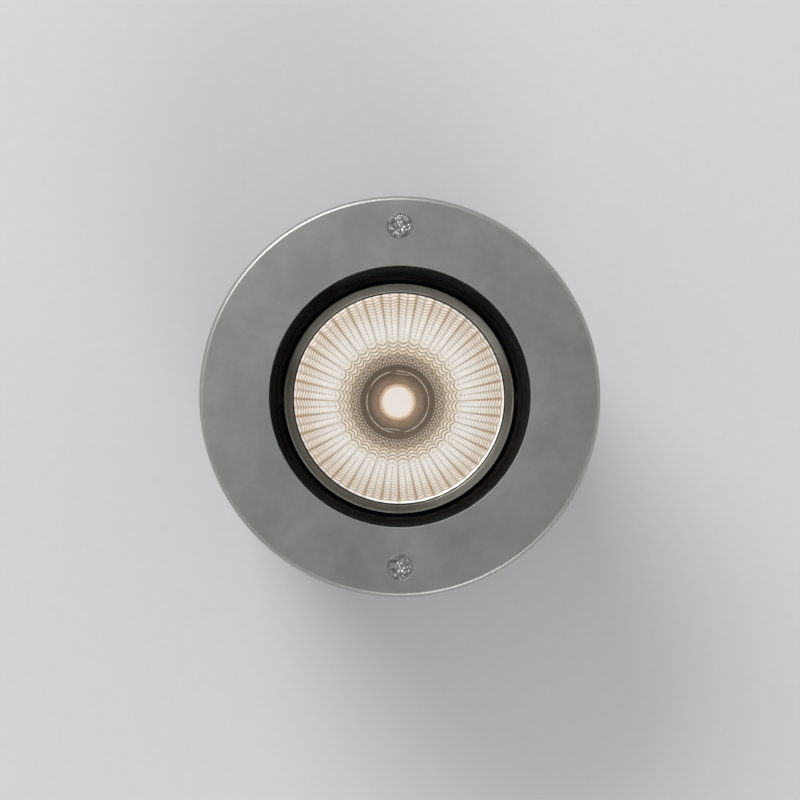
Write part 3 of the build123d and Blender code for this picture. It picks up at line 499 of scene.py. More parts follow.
def blasted_stainless(steel):
    """316 stainless plate, glass-bead blasted and handled. To the eye it is an even satin grey
    with faint light strokes left by wiping, in all directions, and blotches a little lighter and
    darker. The beads' dents are drawn 0.22 mm wide and the turning lines 0.35 mm apart."""
    made, tree = empty_material("blasted_stainless_steel")
    place = node(tree, "TexCoord").outputs["Object"]
    radius, bearing, _ = polar(tree)
    blotch = node(
        tree, "TexNoise", {"Vector": place, "Scale": 1 / (30 * MM), "Detail": 5.0, "Roughness": 0.65}
    )
    cloud = node(
        tree, "TexNoise", {"Vector": place, "Scale": 1 / (5 * MM), "Detail": 4.0, "Roughness": 0.6}
    )
    # Wiping strokes: noise stretched along a few directions, each only in its own patches
    stroke = 0.0
    for turn, long_mm, wide_mm in WIPING:
        stretch = {
            "Vector": place,
            "Rotation": (0, 0, turn),
            "Scale": (long_mm * MM, wide_mm * MM, 1),
        }
        bent = node(tree, "Mapping", stretch, vector_type="TEXTURE")
        mark = node(
            tree, "TexNoise", {"Vector": bent, "Scale": 1.0, "Detail": 3.0, "Distortion": 0.8}
        )
        elsewhere = node(tree, "Mapping", {"Vector": place, "Location": (turn, 2 * turn, 0)})
        patch = node(tree, "TexNoise", {"Vector": elsewhere, "Scale": 1 / (17 * MM), "Detail": 2.0})
        clear = node(tree, "MapRange", mark, 0.5, 0.78)
        there = node(tree, "MapRange", patch, 0.45, 0.62)
        seen = node(tree, "Math", clear, there, operation="MULTIPLY")
        stroke = node(tree, "Math", seen, stroke, operation="MAXIMUM")
    # Turning lines, much fainter, round the axis
    turning = node(
        tree,
        "CombineXYZ",
        node(tree, "Math", radius, 0.35 * MM, operation="DIVIDE"),
        node(tree, "Math", bearing, 6.0, operation="MULTIPLY"),
    )
    ring = node(tree, "TexNoise", {"Vector": turning, "Scale": 1.0, "Detail": 2.0})
    bead = node(tree, "TexNoise", {"Vector": place, "Scale": 1 / (0.22 * MM), "Detail": 2.0})
    light = node(tree, "MapRange", blotch, 0.35, 0.65)
    tone = overlaid(tree, srgb("#9fa09e"), (light, 1.0, "#afafac"))
    tone = node(tree, "Mix", {0: 0.5, 6: tone, 7: steel}, data_type="RGBA").outputs[2]
    dull = node(tree, "MapRange", cloud, 0.42, 0.7)
    tone = overlaid(tree, tone, (stroke, 0.22, "#c8c8c4"), (dull, 0.14, "#858685"))
    wear = node(tree, "Math", stroke, -0.3, blotch, operation="MULTIPLY_ADD")
    lines = node(tree, "Bump", {"Height": ring, "Distance": 0.004 * MM})
    inputs = {
        "Base Color": tone,
        "Metallic": 1.0,
        "Roughness": node(tree, "MapRange", wear, 0.2, 0.7, 0.37, 0.42),
        "Normal": node(tree, "Bump", {"Height": bead, "Distance": 0.006 * MM, "Normal": lines}),
    }
    node(tree, "OutputMaterial", {"Surface": node(tree, "BsdfPrincipled", inputs)})
    return made


def forged_screw(middle_y):
    """Cold-forged stainless steel: a satin head a little brighter than the trim, with a ring of
    small pressed marks, dented, each with a painted highlight. middle_y is the distance of the two
    screws' axes from the light's."""
    made, tree = empty_material("cold_forged_stainless")
    place = node(tree, "TexCoord").outputs["Object"]
    parts = node(tree, "SeparateXYZ", place).outputs
    along = node(tree, "Math", parts[1], operation="ABSOLUTE")
    aside = node(tree, "Math", along, middle_y, operation="SUBTRACT")
    across = node(tree, "Math", parts[0], parts[0], operation="MULTIPLY")
    squares = node(tree, "Math", aside, aside, across, operation="MULTIPLY_ADD")
    radius = node(tree, "Math", squares, operation="SQRT")
    off_ring = node(tree, "Math", radius, MARK_CIRCLE, operation="SUBTRACT")
    off_ring = node(tree, "Math", off_ring, operation="ABSOLUTE")
    spot = node(tree, "TexVoronoi", {"Vector": place, "Scale": 1 / (0.85 * MM)})
    group = node(tree, "TexNoise", {"Vector": place, "Scale": 1 / (2.2 * MM), "Detail": 1.0})
    mark = node(tree, "MapRange", spot, 0.42, 0.22)
    for part in (
        node(tree, "MapRange", off_ring, 0.9 * MM, 0.5 * MM),
        node(tree, "MapRange", group, 0.44, 0.54),
    ):
        mark = node(tree, "Math", mark, part, operation="MULTIPLY")
    cloud = node(tree, "TexNoise", {"Vector": place, "Scale": 1 / (1.6 * MM), "Detail": 3.0})
    light = node(tree, "MapRange", cloud, 0.35, 0.65)
    height = node(tree, "Math", cloud, 0.4, mark, operation="MULTIPLY_ADD")
    # The near-white of the marks is a painted highlight; their dents are real bumps
    inputs = {
        "Base Color": overlaid(
            tree, srgb("#a2a3a1"), (light, 1.0, "#b9bab7"), (mark, 0.85, "#fafaf8")
        ),
        "Metallic": 1.0,
        "Roughness": node(tree, "MapRange", cloud, 0.3, 0.7, 0.26, 0.40),
        "Normal": node(tree, "Bump", {"Height": height, "Distance": 0.05 * MM}),
    }
    node(tree, "OutputMaterial", {"Surface": node(tree, "BsdfPrincipled", inputs)})
    return made


def clear_glass():
    """Toughened soda-lime glass, polished: the eye looks through it and sees one dark patch of
    sky in it. Lamps reach what lies under it."""
    made, tree = empty_material("toughened_soda_lime_glass")
    inputs = {
        "Base Color": srgb("#fafcfb"),
        "Roughness": 0.0,
        "IOR": 1.5,
        "Transmission Weight": 1.0,
    }
    pane = node(tree, "BsdfPrincipled", inputs)
    passed = node(tree, "BsdfTransparent", {"Color": srgb("#f6faf8")})
    shadow = node(tree, "LightPath").outputs["Is Shadow Ray"]
    node(tree, "OutputMaterial", {"Surface": node(tree, "MixShader", shadow, pane, passed)})
    return made


def facet_coating_painted_reflection(sizes):
    """Vacuum-metallised moulding: a warm mirror whose cushions each throw an image of the source up.
    That image is painted reflection: it is painted into the colour and glows as emission, though the
    facets are no lamp. In it a flute is two white strips with a dashed grey line between them, tan
    wedges that widen at its sides towards the rim, rows that arch towards the rim outside and hang
    towards the neck inside, and a brown-grey honeycomb at the neck. The flutes UV map counts flutes
    along U and rows along V."""
    made, tree = empty_material("metallised_facets")
    parts = node(tree, "SeparateXYZ", node(tree, "UVMap", uv_map="flutes")).outputs
    flute, row = parts[0], parts[1]
    radius, bearing, _ = polar(tree)
    # share is 0 at the neck and 1 at the rim, side 0 in a flute's middle and 0.5 at its creases,
    # and strip 0 in the middle of each of its two strips
    share = node(tree, "MapRange", radius, sizes.neck_radius, sizes.rim_radius)
    side = off_centre(tree, flute)
    strip = node(tree, "Math", side, 0.25, operation="SUBTRACT")
    strip = node(tree, "Math", strip, operation="ABSOLUTE")
    outer = node(tree, "MapRange", share, 0.30, 0.42)
    inner = node(tree, "Math", 1.0, outer, operation="SUBTRACT")
    rim = node(tree, "MapRange", share, 0.55, 0.90)
    neck = node(tree, "MapRange", share, 0.20, 0.09)

    # Dark lines between rows of the painted reflection, bent one way outside and the other way
    # inside, with painted highlights on the ridges between them inside
    arch = node(tree, "Math", bulge(tree, strip, 0.25), outer, operation="MULTIPLY")
    hang = node(tree, "Math", bulge(tree, side, 0.5), inner, operation="MULTIPLY")
    bent = node(tree, "Math", arch, -0.42, row, operation="MULTIPLY_ADD")
    bent = node(tree, "Math", hang, 0.32, bent, operation="MULTIPLY_ADD")
    row_line = node(tree, "MapRange", off_centre(tree, bent), 0.24, 0.42)
    heavy = node(tree, "Math", inner, 0.80, operation="MULTIPLY")
    heavy = node(tree, "Math", rim, 0.52, heavy, operation="MULTIPLY_ADD")
    heavy = node(tree, "Math", outer, 0.12, heavy, operation="MULTIPLY_ADD")
    heavy = node(tree, "Math", row_line, heavy, operation="MULTIPLY")
    ridge = node(tree, "Math", 1.0, row_line, operation="SUBTRACT")
    ridge = node(tree, "Math", ridge, inner, operation="MULTIPLY")

    # White flutes of painted reflection, and tan wedges that open between them
    white = node(tree, "MapRange", side, 0.49, 0.40)
    white = node(tree, "Math", white, outer, operation="MULTIPLY")
    fading = node(tree, "MapRange", share, 0.60, 0.95, 0.74, 0.56)
    white = node(tree, "Math", white, fading, operation="MULTIPLY")
    wedge_edge = node(tree, "MapRange", share, 0.42, 0.98, 0.235, 0.11)
    wedge = node(tree, "Math", strip, wedge_edge, operation="SUBTRACT")
    wedge = node(tree, "MapRange", wedge, -0.03, 0.04)
    for part in (
        node(tree, "MapRange", row_line, 0.0, 1.0, 0.30, 1.0),
        node(tree, "MapRange", side, 0.15, 0.35, 0.50, 1.0),
        node(tree, "MapRange", share, 0.40, 0.55),
    ):
        wedge = node(tree, "Math", wedge, part, operation="MULTIPLY")

    # Dashes in the flutes' middles and creases
    dash = node(tree, "MapRange", off_centre(tree, row), 0.36, 0.22)
    middle = node(tree, "MapRange", side, 0.10, 0.04)
    middle = node(
        tree, "Math", middle, node(tree, "MapRange", side, 0.40, 0.46), operation="MAXIMUM"
    )
    crease = node(tree, "MapRange", side, 0.42, 0.48)
    for part in (dash, outer):
        middle = node(tree, "Math", middle, part, operation="MULTIPLY")
    for part in (dash, inner):
        crease = node(tree, "Math", crease, part, operation="MULTIPLY")

    # Honeycomb at the neck: two dots to a flute, set over by half from row to row
    dot_row = node(tree, "Math", row, 1.5, operation="MULTIPLY")
    shift = node(tree, "Math", dot_row, operation="FLOOR")
    shift = node(tree, "Math", shift, 0.5, operation="MULTIPLY")
    cell = node(tree, "Math", flute, 2.0, shift, operation="MULTIPLY_ADD")
    dot = node(tree, "MapRange", off_centre(tree, cell), 0.34, 0.14)
    for part in (node(tree, "MapRange", off_centre(tree, dot_row), 0.38, 0.14), neck):
        dot = node(tree, "Math", dot, part, operation="MULTIPLY")

    # Painted highlight: the last facets at the rim are painted white on one side, as if they threw
    # the light up there
    facing = node(tree, "Math", bearing, math.radians(RIM_GLINT), operation="ADD")
    facing = node(tree, "Math", facing, operation="COSINE")
    glint = node(tree, "MapRange", facing, 0.2, 0.7)
    last = node(tree, "MapRange", share, 0.962, 0.982)
    glint = node(tree, "Math", glint, last, operation="MULTIPLY")

    place = node(tree, "TexCoord").outputs["Object"]
    patch = node(tree, "TexNoise", {"Vector": place, "Scale": 1 / (3.2 * MM), "Detail": 2.0})
    patch = node(tree, "MapRange", patch, 0.35, 0.75)
    bands = node(tree, "ValToRGB", share)
    stops = bands.color_ramp.elements
    while len(stops) < len(BOWL_PAINTED_TONES):
        stops.new(0.5)
    for stop, (position, code) in zip(stops, BOWL_PAINTED_TONES):
        stop.position = position
        stop.color = srgb(code)
    # The painted reflection of the source: painted into the metal's colour and shown as emission
    lit = overlaid(
        tree,
        bands.outputs[0],
        (white, 1.0, "#f4f3f4"),
        (ridge, 0.50, "#fdf8f0"),
        (wedge, 0.72, "#a47d4a"),
        (middle, 0.58, "#8f8b7c"),
        (crease, 0.50, "#85755c"),
        (heavy, 1.0, "#7c6040"),
        (neck, 0.85, "#5b4e42"),
        (dot, 1.0, "#d6c5b1"),
        (patch, 0.16, "#b59a78"),
        (glint, 0.8, "#ffffff"),
    )
    metal = node(tree, "Mix", {0: 0.5, 6: sizes.metal, 7: lit}, data_type="RGBA")
    inputs = {
        "Base Color": metal.outputs[2],
        "Metallic": 1.0,
        "Roughness": 0.3,
        "Emission Color": lit,
        "Emission Strength": sizes.glow,
    }
    node(tree, "OutputMaterial", {"Surface": node(tree, "BsdfPrincipled", inputs)})
    return made


def lit_phosphor(sizes):
    """Yellow phosphor in clear silicone, lit: near white in the middle, a little warmer at its
    edge, with the chips under it 1.1 mm apart."""
    made, tree = empty_material("lit_phosphor_silicone")
    radius = polar(tree)[0]
    place = node(tree, "TexCoord").outputs["Object"]
    edge = node(tree, "MapRange", radius, 0.75 * DISC_HIGH[0], DISC_HIGH[0])
    chips = node(tree, "TexVoronoi", {"Vector": place, "Scale": 1 / (1.1 * MM)})
    chips = node(tree, "MapRange", chips, 0.2, 0.7)
    light = tuple(sizes.light)
    inputs = {
        "Base Color": srgb("#93835f"),
        "Roughness": 0.35,
        "Emission Color": overlaid(tree, light, (edge, 1.0, "#f3e8e2"), (chips, 0.06, "#ffeeda")),
        "Emission Strength": sizes.strength,
    }
    node(tree, "OutputMaterial", {"Surface": node(tree, "BsdfPrincipled", inputs)})
    return made


def lit_by_source(name, near, far, near_mm, far_mm, base, roughness, strength, metallic=0.0):
    """A finish beside the light source: its own colour, with the source's glow painted on as
    emission, fading from near to far across those radii. Clouds of 2.5 mm break it up, over a grain
    of 0.4 mm."""
    made, tree = empty_material(name)
    place = node(tree, "TexCoord").outputs["Object"]
    fade = node(tree, "MapRange", polar(tree)[0], near_mm * MM, far_mm * MM)
    cloud = node(tree, "TexNoise", {"Vector": place, "Scale": 1 / (2.5 * MM), "Detail": 3.0})
    fine = node(tree, "TexNoise", {"Vector": place, "Scale": 1 / (0.4 * MM), "Detail": 2.0})
    dim = node(tree, "MapRange", cloud, 0.4, 0.7)
    mottle = node(tree, "MapRange", cloud, 0.35, 0.65)
    inputs = {
        "Base Color": overlaid(tree, srgb(base), (mottle, 0.4, far)),
        "Roughness": node(tree, "MapRange", fine, 0.3, 0.7, roughness - 0.05, roughness + 0.05),
        "Metallic": metallic,
        "Normal": node(tree, "Bump", {"Height": fine, "Distance": 0.01 * MM}),
        "Emission Color": overlaid(tree, srgb(near), (fade, 1.0, far), (dim, 0.3, far)),
        "Emission Strength": strength,
    }
    node(tree, "OutputMaterial", {"Surface": node(tree, "BsdfPrincipled", inputs)})
    return made


def polished_edge(name, circle, flats):
    """Moulded polycarbonate, glossy: a dark edge with a painted highlight, a bright line that glows
    where the source strikes it. On a round edge that is in patches of 5 mm, and with flats it is
    only on the flats, which lie inside the circle."""
    made, tree = empty_material(name)
    place = node(tree, "TexCoord").outputs["Object"]
    patch = node(tree, "TexNoise", {"Vector": place, "Scale": 1 / (5.0 * MM), "Detail": 1.0})
    bright = node(tree, "MapRange", patch, 0.34, 0.52)
    if flats:
        bright = node(tree, "MapRange", polar(tree)[0], circle - 0.1 * MM, circle - 0.4 * MM)
    # The bright line is painted light, shown as emission
    inputs = {
        "Base Color": srgb("#5a5048"),
        "Roughness": 0.2,
        "Emission Color": overlaid(tree, srgb("#5d5045"), (bright, 1.0, "#d9cbbb")),
        "Emission Strength": 0.9,
    }
    node(tree, "OutputMaterial", {"Surface": node(tree, "BsdfPrincipled", inputs)})
    return made


def turned_bezel(colour):
    """Turned aluminium, satin anodised grey: a soft warm sheen with fine turning lines round the
    axis, drawn 0.18 mm apart. Painted light makes it paler over two stretches, and a painted
    highlight runs along part of its outer edge."""
    made, tree = empty_material("satin_anodised_bezel")
    radius, bearing, height = polar(tree)
    place = node(tree, "TexCoord").outputs["Object"]
    rings = node(
        tree,
        "CombineXYZ",
        node(tree, "Math", radius, 0.18 * MM, operation="DIVIDE"),
        node(tree, "Math", bearing, 3.0, operation="MULTIPLY"),
        node(tree, "Math", height, 0.18 * MM, operation="DIVIDE"),
    )
    line = node(tree, "TexNoise", {"Vector": rings, "Scale": 1.0, "Detail": 2.0})
    cloud = node(tree, "TexNoise", {"Vector": place, "Scale": 1 / (7 * MM), "Detail": 3.0})
    # Painted light: two stretches of the ring are painted paler, as if lit there
    away = node(tree, "Math", bearing, operation="SINE")
    beside = node(tree, "Math", bearing, math.radians(PAINTED_LIGHT_STRETCH), operation="ADD")
    beside = node(tree, "Math", beside, operation="COSINE")
    pale = node(
        tree,
        "Math",
        node(tree, "MapRange", away, 0.2, 0.6),
        node(tree, "MapRange", beside, 0.78, 0.99, 0.0, 0.7),
        operation="MAXIMUM",
    )
    # Painted highlight along the outer edge, on the side away from +Y
    edge = node(tree, "MapRange", radius, BEZEL_HIGH[0] - 0.85 * MM, BEZEL_HIGH[0] - 0.45 * MM)
    near = node(tree, "MapRange", away, 0.35, -0.1)
    edge_highlight = node(tree, "Math", edge, near, operation="MULTIPLY")
    dull = node(tree, "MapRange", cloud, 0.35, 0.7)
    inputs = {
        "Base Color": overlaid(
            tree,
            tuple(colour),
            (pale, 1.0, "#e6ddcf"),
            (edge_highlight, 0.75, "#f6efe4"),
            (dull, 0.25, "#8b867c"),
        ),
        "Metallic": 0.8,
        "Roughness": node(tree, "MapRange", line, 0.3, 0.7, 0.30, 0.40),
        "Normal": node(tree, "Bump", {"Height": line, "Distance": 0.004 * MM}),
    }
    node(tree, "OutputMaterial", {"Surface": node(tree, "BsdfPrincipled", inputs)})
    return made


# Operators


class FLOORLIGHT_OT_reflector(bpy.types.Operator):
    """Make the fluted reflector in place of the plain one"""

    bl_idname = "floorlight.reflector"
    bl_label = "Reflector"

    def execute(self, context):
        """The inner face is a paraboloid: its radius squared grows evenly from neck to rim. Rows
        are evenly spaced along its curve. Each flute stands inwards by its depth times
        (1 - q squared), with q from -1 to 1 across it, and each facet by the cushion depth times
        (1 - h squared)(1 - w squared), with h and w from -1 to 1 across and along it."""
        sizes = context.scene.floor_light_reflector
        columns, rows = sizes.flutes * FLUTE_STEPS, sizes.rows * ROW_STEPS
        neck, rim = sizes.neck_radius, sizes.rim_radius
        spread = rim**2 - neck**2
        low, high = REFLECTOR_LOW[2], REFLECTOR_HIGH[2]
        fine = np.linspace(0, 1, CURVE_POINTS)
        steps = np.hypot(np.diff(np.sqrt(neck**2 + spread * fine)), np.diff((high - low) * fine))
        length = np.concatenate([[0], np.cumsum(steps)])
        along = np.linspace(0, 1, rows + 1)
        share = np.interp(along * length[-1], length, fine)[:, None]
        count = np.arange(columns)[None, :] / FLUTE_STEPS
        angle = 2 * math.pi * count / sizes.flutes
        q = 2 * (count % 1) - 1
        h = 2 * ((2 * count) % 1) - 1
        w = 2 * ((along[:, None] * sizes.rows) % 1) - 1
        fade = np.clip(share / NECK_FADE, 0, 1) * np.clip((1 - share) / RIM_FADE, 0, 1)
        stand = sizes.flute_depth * (1 - q**2) + sizes.cushion_depth * (1 - h**2) * (1 - w**2)
        radius = np.sqrt(neck**2 + spread * share) - fade * stand
        height = low + (high - low) * share + 0 * angle
        inner = np.stack([radius * np.cos(angle), radius * np.sin(angle), height], axis=-1)
        shell = self.shell(neck, rim, low, high)[:, None, :]
        outer = np.stack(
            [
                shell[..., 0] * np.cos(angle),
                shell[..., 0] * np.sin(angle),
                shell[..., 1] + 0 * angle,
            ],
            axis=-1,
        )
        grid = np.concatenate([inner, outer])[::-1]
        flute = np.arange(columns + 1) / FLUTE_STEPS
        row = np.concatenate([along * sizes.rows, np.full(len(outer), float(sizes.rows))])[::-1]
        row = np.append(row, row[0])
        uv = np.stack(np.broadcast_arrays(flute[None, :], row[:, None]), axis=-1)
        bowl = skin("reflector_bowl", grid, facet_coating_painted_reflection(sizes), wrap_rows=True, uv=uv)
        # Back of the moulding, metallised thinly: a dark smoky metal that stays in the shade
        back = finished(
            "metallised_shell", "#4e4b46", "#3f3c38", 0.3, 5.0, roughness=0.35, metallic=0.8
        )
        bowl.data.materials.append(back)
        # Rows of quads past the inner face have the shell's own finish
        shell_rows = np.arange(len(grid)) < len(outer)
        shell_rows[-1] = True
        slots = np.repeat(shell_rows, columns).astype(np.int32)
        bowl.data.polygons.foreach_set("material_index", slots)
        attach(bowl, "optic")
        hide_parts("reflector")
        return {"FINISHED"}

    def shell(self, neck, rim, low, high):
        """(radius, height) of the rolled lip, the flange and the outer wall, from the rim down to
        the neck. The wall follows the same paraboloid as the inner face, a wall further out."""
        flange, ledge = REFLECTOR_HIGH[0], high - LIP_DEPTH
        share = np.linspace(WALL_START, 0.0, WALL_ROWS)
        wall = np.sqrt(neck**2 + (rim**2 - neck**2) * share) + WALL
        return np.vstack(
            [
                [
                    (rim + LIP_INSIDE, high),
                    (rim + LIP_OUTSIDE, high - LIP_EDGE),
                    (rim + LIP_OUTSIDE, ledge),
                    (flange - FLANGE_EDGE, ledge),
                    (flange, ledge - FLANGE_EDGE),
                    (flange, high - FLANGE_DEPTH),
                ],
                np.stack([wall, low + (high - low) * share], axis=-1),
            ]
        )


class FLOORLIGHT_OT_source(bpy.types.Operator):
    """Make the lit phosphor, its dam, and the bright edges round them"""

    bl_idname = "floorlight.source"
    bl_label = "Light source"

    def execute(self, context):
        """The phosphor is a low dome: its height falls by the crown times the square of the share
        of its radius. The dam is a bead with a half-round top, and the neck and the rim of the
        reflector each have a round bead."""
        sizes = context.scene.floor_light_source
        radius, low, high = DISC_HIGH[0], DISC_LOW[2], DISC_HIGH[2]
        share = np.linspace(DOME_HUB, 1, DOME_ROWS)
        dome = np.stack([radius * share, high - sizes.crown * share**2], axis=-1)[::-1]
        profile = np.vstack([[(radius, low)], dome])
        disc = turned(
            "phosphor_dome",
            profile,
            lit_phosphor(sizes),
            SMALL_SIDES,
            wrap_rows=False,
            ends=(True, True),
        )
        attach(disc, "optic")
        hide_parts("phosphor_disc")

        outer, inner = DAM_HIGH[0], radius + DAM_CLEARANCE
        middle, half = (outer + inner) / 2, (outer - inner) / 2
        top = arc((middle, DAM_HIGH[2] - half), half, 0, 180, 13)
        profile = np.vstack([[(inner, DAM_LOW[2]), (outer, DAM_LOW[2])], top])
        # Dispensed silicone, translucent: it glows cream beside the phosphor and tan outside
        glow = lit_by_source(
            "translucent_silicone_dam", "#e6cfb6", "#b3947a", 6.2, 7.3,
            base="#94856e", roughness=0.3, strength=0.66,
        )
        dam = turned("dam_bead", profile, glow, SMALL_SIDES)
        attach(dam, "optic")
        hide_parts("dam_ring")

        # White solder mask in warm spill light: tan beside the dam and brown in the corners
        board = lit_by_source(
            "solder_mask_board", "#b78f70", "#5d4d40", 7.2, 11.0,
            base="#6f655a", roughness=0.4, strength=0.55,
        )
        dress(board, "led_board")
        # Moulded polycarbonate, satin: an even brown-grey ring, with the source's glow painted on
        holder = lit_by_source(
            "moulded_holder", "#75624f", "#5b4d41", 11.5, 14.6,
            base="#584e44", roughness=0.32, strength=0.55,
        )
        dress(holder, "led_holder")
        for name, circle, flats in (
            ("aperture_edge", APERTURE_RADIUS, False),
            ("aperture_flats", APERTURE_RADIUS - FLAT_INSET, True),
        ):
            edge = self.aperture_bead(name, circle, flats)
            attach(edge, "optic")

        reflector = context.scene.floor_light_reflector
        # Edge of the moulding at its neck: a dark warm line standing in for the shaded gap there,
        # with the source's glow painted on
        bare = lit_by_source(
            "turned_neck_edge", "#82756a", "#62564c", 14.0, 15.2,
            base="#5d544b", roughness=0.3, strength=0.55, metallic=0.5,
        )
        middle = (reflector.neck_radius + NECK_BEAD_OUT, REFLECTOR_LOW[2] + NECK_BEAD_RISE)
        bead = turned("neck_bead", round_bead(middle, NECK_BEAD), bare)
        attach(bead, "optic")
        # Rolled lip of the moulding: a thin brown line of painted shade between the bright facets
        # and the bezel, with the source's glow painted on
        rolled = lit_by_source(
            "rolled_rim", "#7c685a", "#65554a", 40.0, 40.8,
            base="#6e6055", roughness=0.3, strength=0.6, metallic=0.6,
        )
        middle = (reflector.rim_radius + RIM_BEAD_OUT, REFLECTOR_HIGH[2] - RIM_BEAD_DROP)
        lip = turned("rim_bead", round_bead(middle, RIM_BEAD), rolled, RIM_SIDES)
        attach(lip, "optic")
        return {"FINISHED"}

    def aperture_bead(self, name, circle, flats):
        """A thin bead round the holder's aperture. Its path is the circle (r cos t, r sin t). With
        flats, over two stretches half a turn apart it follows a straight flat, where the radius
        is d / cos(t - m), with d the flat's distance and m the middle of its bearing. The bead's
        section is a small circle carried along the path."""
        angle = np.linspace(0, 2 * math.pi, BEAD_STEPS, endpoint=False)
        half_turn = np.degrees(angle) % 180
        flat = flats & (half_turn > FLAT_START) & (half_turn < FLAT_STOP)
        chord = FLAT_DISTANCE / np.cos(np.radians(half_turn - FLAT_MIDDLE))
        radius = np.where(flat, chord, circle)
        bead = FLAT_BEAD if flats else CIRCLE_BEAD
        section = np.linspace(0, 2 * math.pi, BEAD_SIDES, endpoint=False)[:, None]
        across = radius + bead * np.cos(section)
        height = REFLECTOR_LOW[2] + BEAD_RISE + bead * np.sin(section)
        grid = np.stack(
            [across * np.cos(angle), across * np.sin(angle), height + 0 * across], axis=-1
        )
        return skin(name, grid, polished_edge("polished_" + name, circle, flats), wrap_rows=True)


class FLOORLIGHT_OT_bezel(bpy.types.Operator):
    """Make the turned bezel round the reflector"""

    bl_idname = "floorlight.bezel"
    bl_label = "Bezel"

    def execute(self, context):
        """A ring turned from one profile: a face that falls outwards in a straight line, between
        two small rounded edges, each an arc (r cos t, r sin t) about its own middle, with a plate
        and a skirt under it."""
        outer, low, high = BEZEL_HIGH[0], BEZEL_LOW[2], BEZEL_HIGH[2]
        inner = outer - FACE_WIDTH
        plate, skirt = high - PLATE_DEPTH, low + SKIRT_HEIGHT
        profile = np.vstack(
            [
                [(outer - SKIRT_WALL, low), (outer - SKIRT_EDGE, low), (outer, low + SKIRT_EDGE)],
                arc((outer - FACE_EDGE, high - FACE_FALL - FACE_EDGE), FACE_EDGE, 0, 80, 9),
                arc((inner + FACE_EDGE, high - FACE_EDGE), FACE_EDGE, 100, 180, 6),
                [
                    (inner, plate),
                    (inner + PLATE_WIDTH, plate),
                    (inner + PLATE_WIDTH, skirt),
                    (outer - SKIRT_WALL, skirt),
                ],
            ]
        )
        ring = turned("bezel_ring", profile, turned_bezel(context.scene.floor_light_finish.bezel))
        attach(ring, "optic")
        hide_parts("optic_bezel")
        return {"FINISHED"}


class FLOORLIGHT_OT_trim(bpy.types.Operator):
    """Finish the steel trim and the glass, and make the trim's screws"""

    bl_idname = "floorlight.trim"
    bl_label = "Trim and glass"

    def execute(self, context):
        """The two screws lie on the Y axis. Their node's box ends at a head's edge on every side,
        so its half width is a head's radius and its half length less that is the axes' place."""
        dress(blasted_stainless(context.scene.floor_light_finish.steel), "trim_ring")
        dress(clear_glass(), "glass")
        low, high = corner("trim_screws")
        head, middle_y = high[0], high[1] - high[0]
        steel = forged_screw(middle_y)
        for name, place_y in (("trim_screw_top", middle_y), ("trim_screw_bottom", -middle_y)):
            grid = self.screw(head, place_y, low[2], high[2])
            screw = skin(name, grid, steel, ends=(True, True))
            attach(screw, "root")
            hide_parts("trim_screws")
        # Stainless steel screws, cold-forged and not blasted: light metal with soft blotches
        plain = finished(
            "plain_stainless_screw", "#c6c6c2", "#a9aaa7", 0.35, 1.4,
            roughness=0.42, spread=0.12, depth_mm=0.03, metallic=1.0,
        )
        dress(plain, "clamp_screws", "cage_screws", "holder_screws")
        dress(plain, "driver_screws", "cover_screws", "earth_screw")
        return {"FINISHED"}

    def screw(self, head, middle_y, bottom, top):
        """Rows of a countersunk screw, each at the radius s (a + b cos 6t) + r round its axis and
        a depth under the head's top: s is 1 on the edges of the six-lobed recess and 0 on round
        rows. The recess has a bevel, a floor that dishes towards the middle, and a pin."""
        angle = np.linspace(0, 2 * math.pi, SMALL_SIDES, endpoint=False)
        lobes = LOBE_MEAN + LOBE_SWING * np.cos(LOBES * angle)
        rows = np.array(
            [
                (0.0, SHANK, top - bottom),
                (0.0, SHANK, head - SHANK + HEAD_RIM),
                (0.0, head, HEAD_RIM),
                (0.0, head, HEAD_EDGE),
                (0.0, head - HEAD_EDGE, 0.0),
                (1.0, RECESS_BEVEL, 0.0),
                (1.0, 0.0, RECESS_BEVEL),
                (1.0, -RECESS_TAPER, RECESS_WALL),
                (0.0, DISH_RADIUS, DISH_DEPTH),
                (0.0, PIN_RADIUS, PIN_FOOT),
                (0.0, PIN_RADIUS, PIN_EDGE),
                (0.0, PIN_TOP_RADIUS, PIN_TOP),
            ]
        )
        radius = rows[:, :1] * lobes + rows[:, 1:2]
        depth = rows[:, 2:] + 0 * angle
        grid = np.stack(
            [radius * np.cos(angle), middle_y + radius * np.sin(angle), top - depth], axis=-1
        )
        return supported(grid, closed=False)


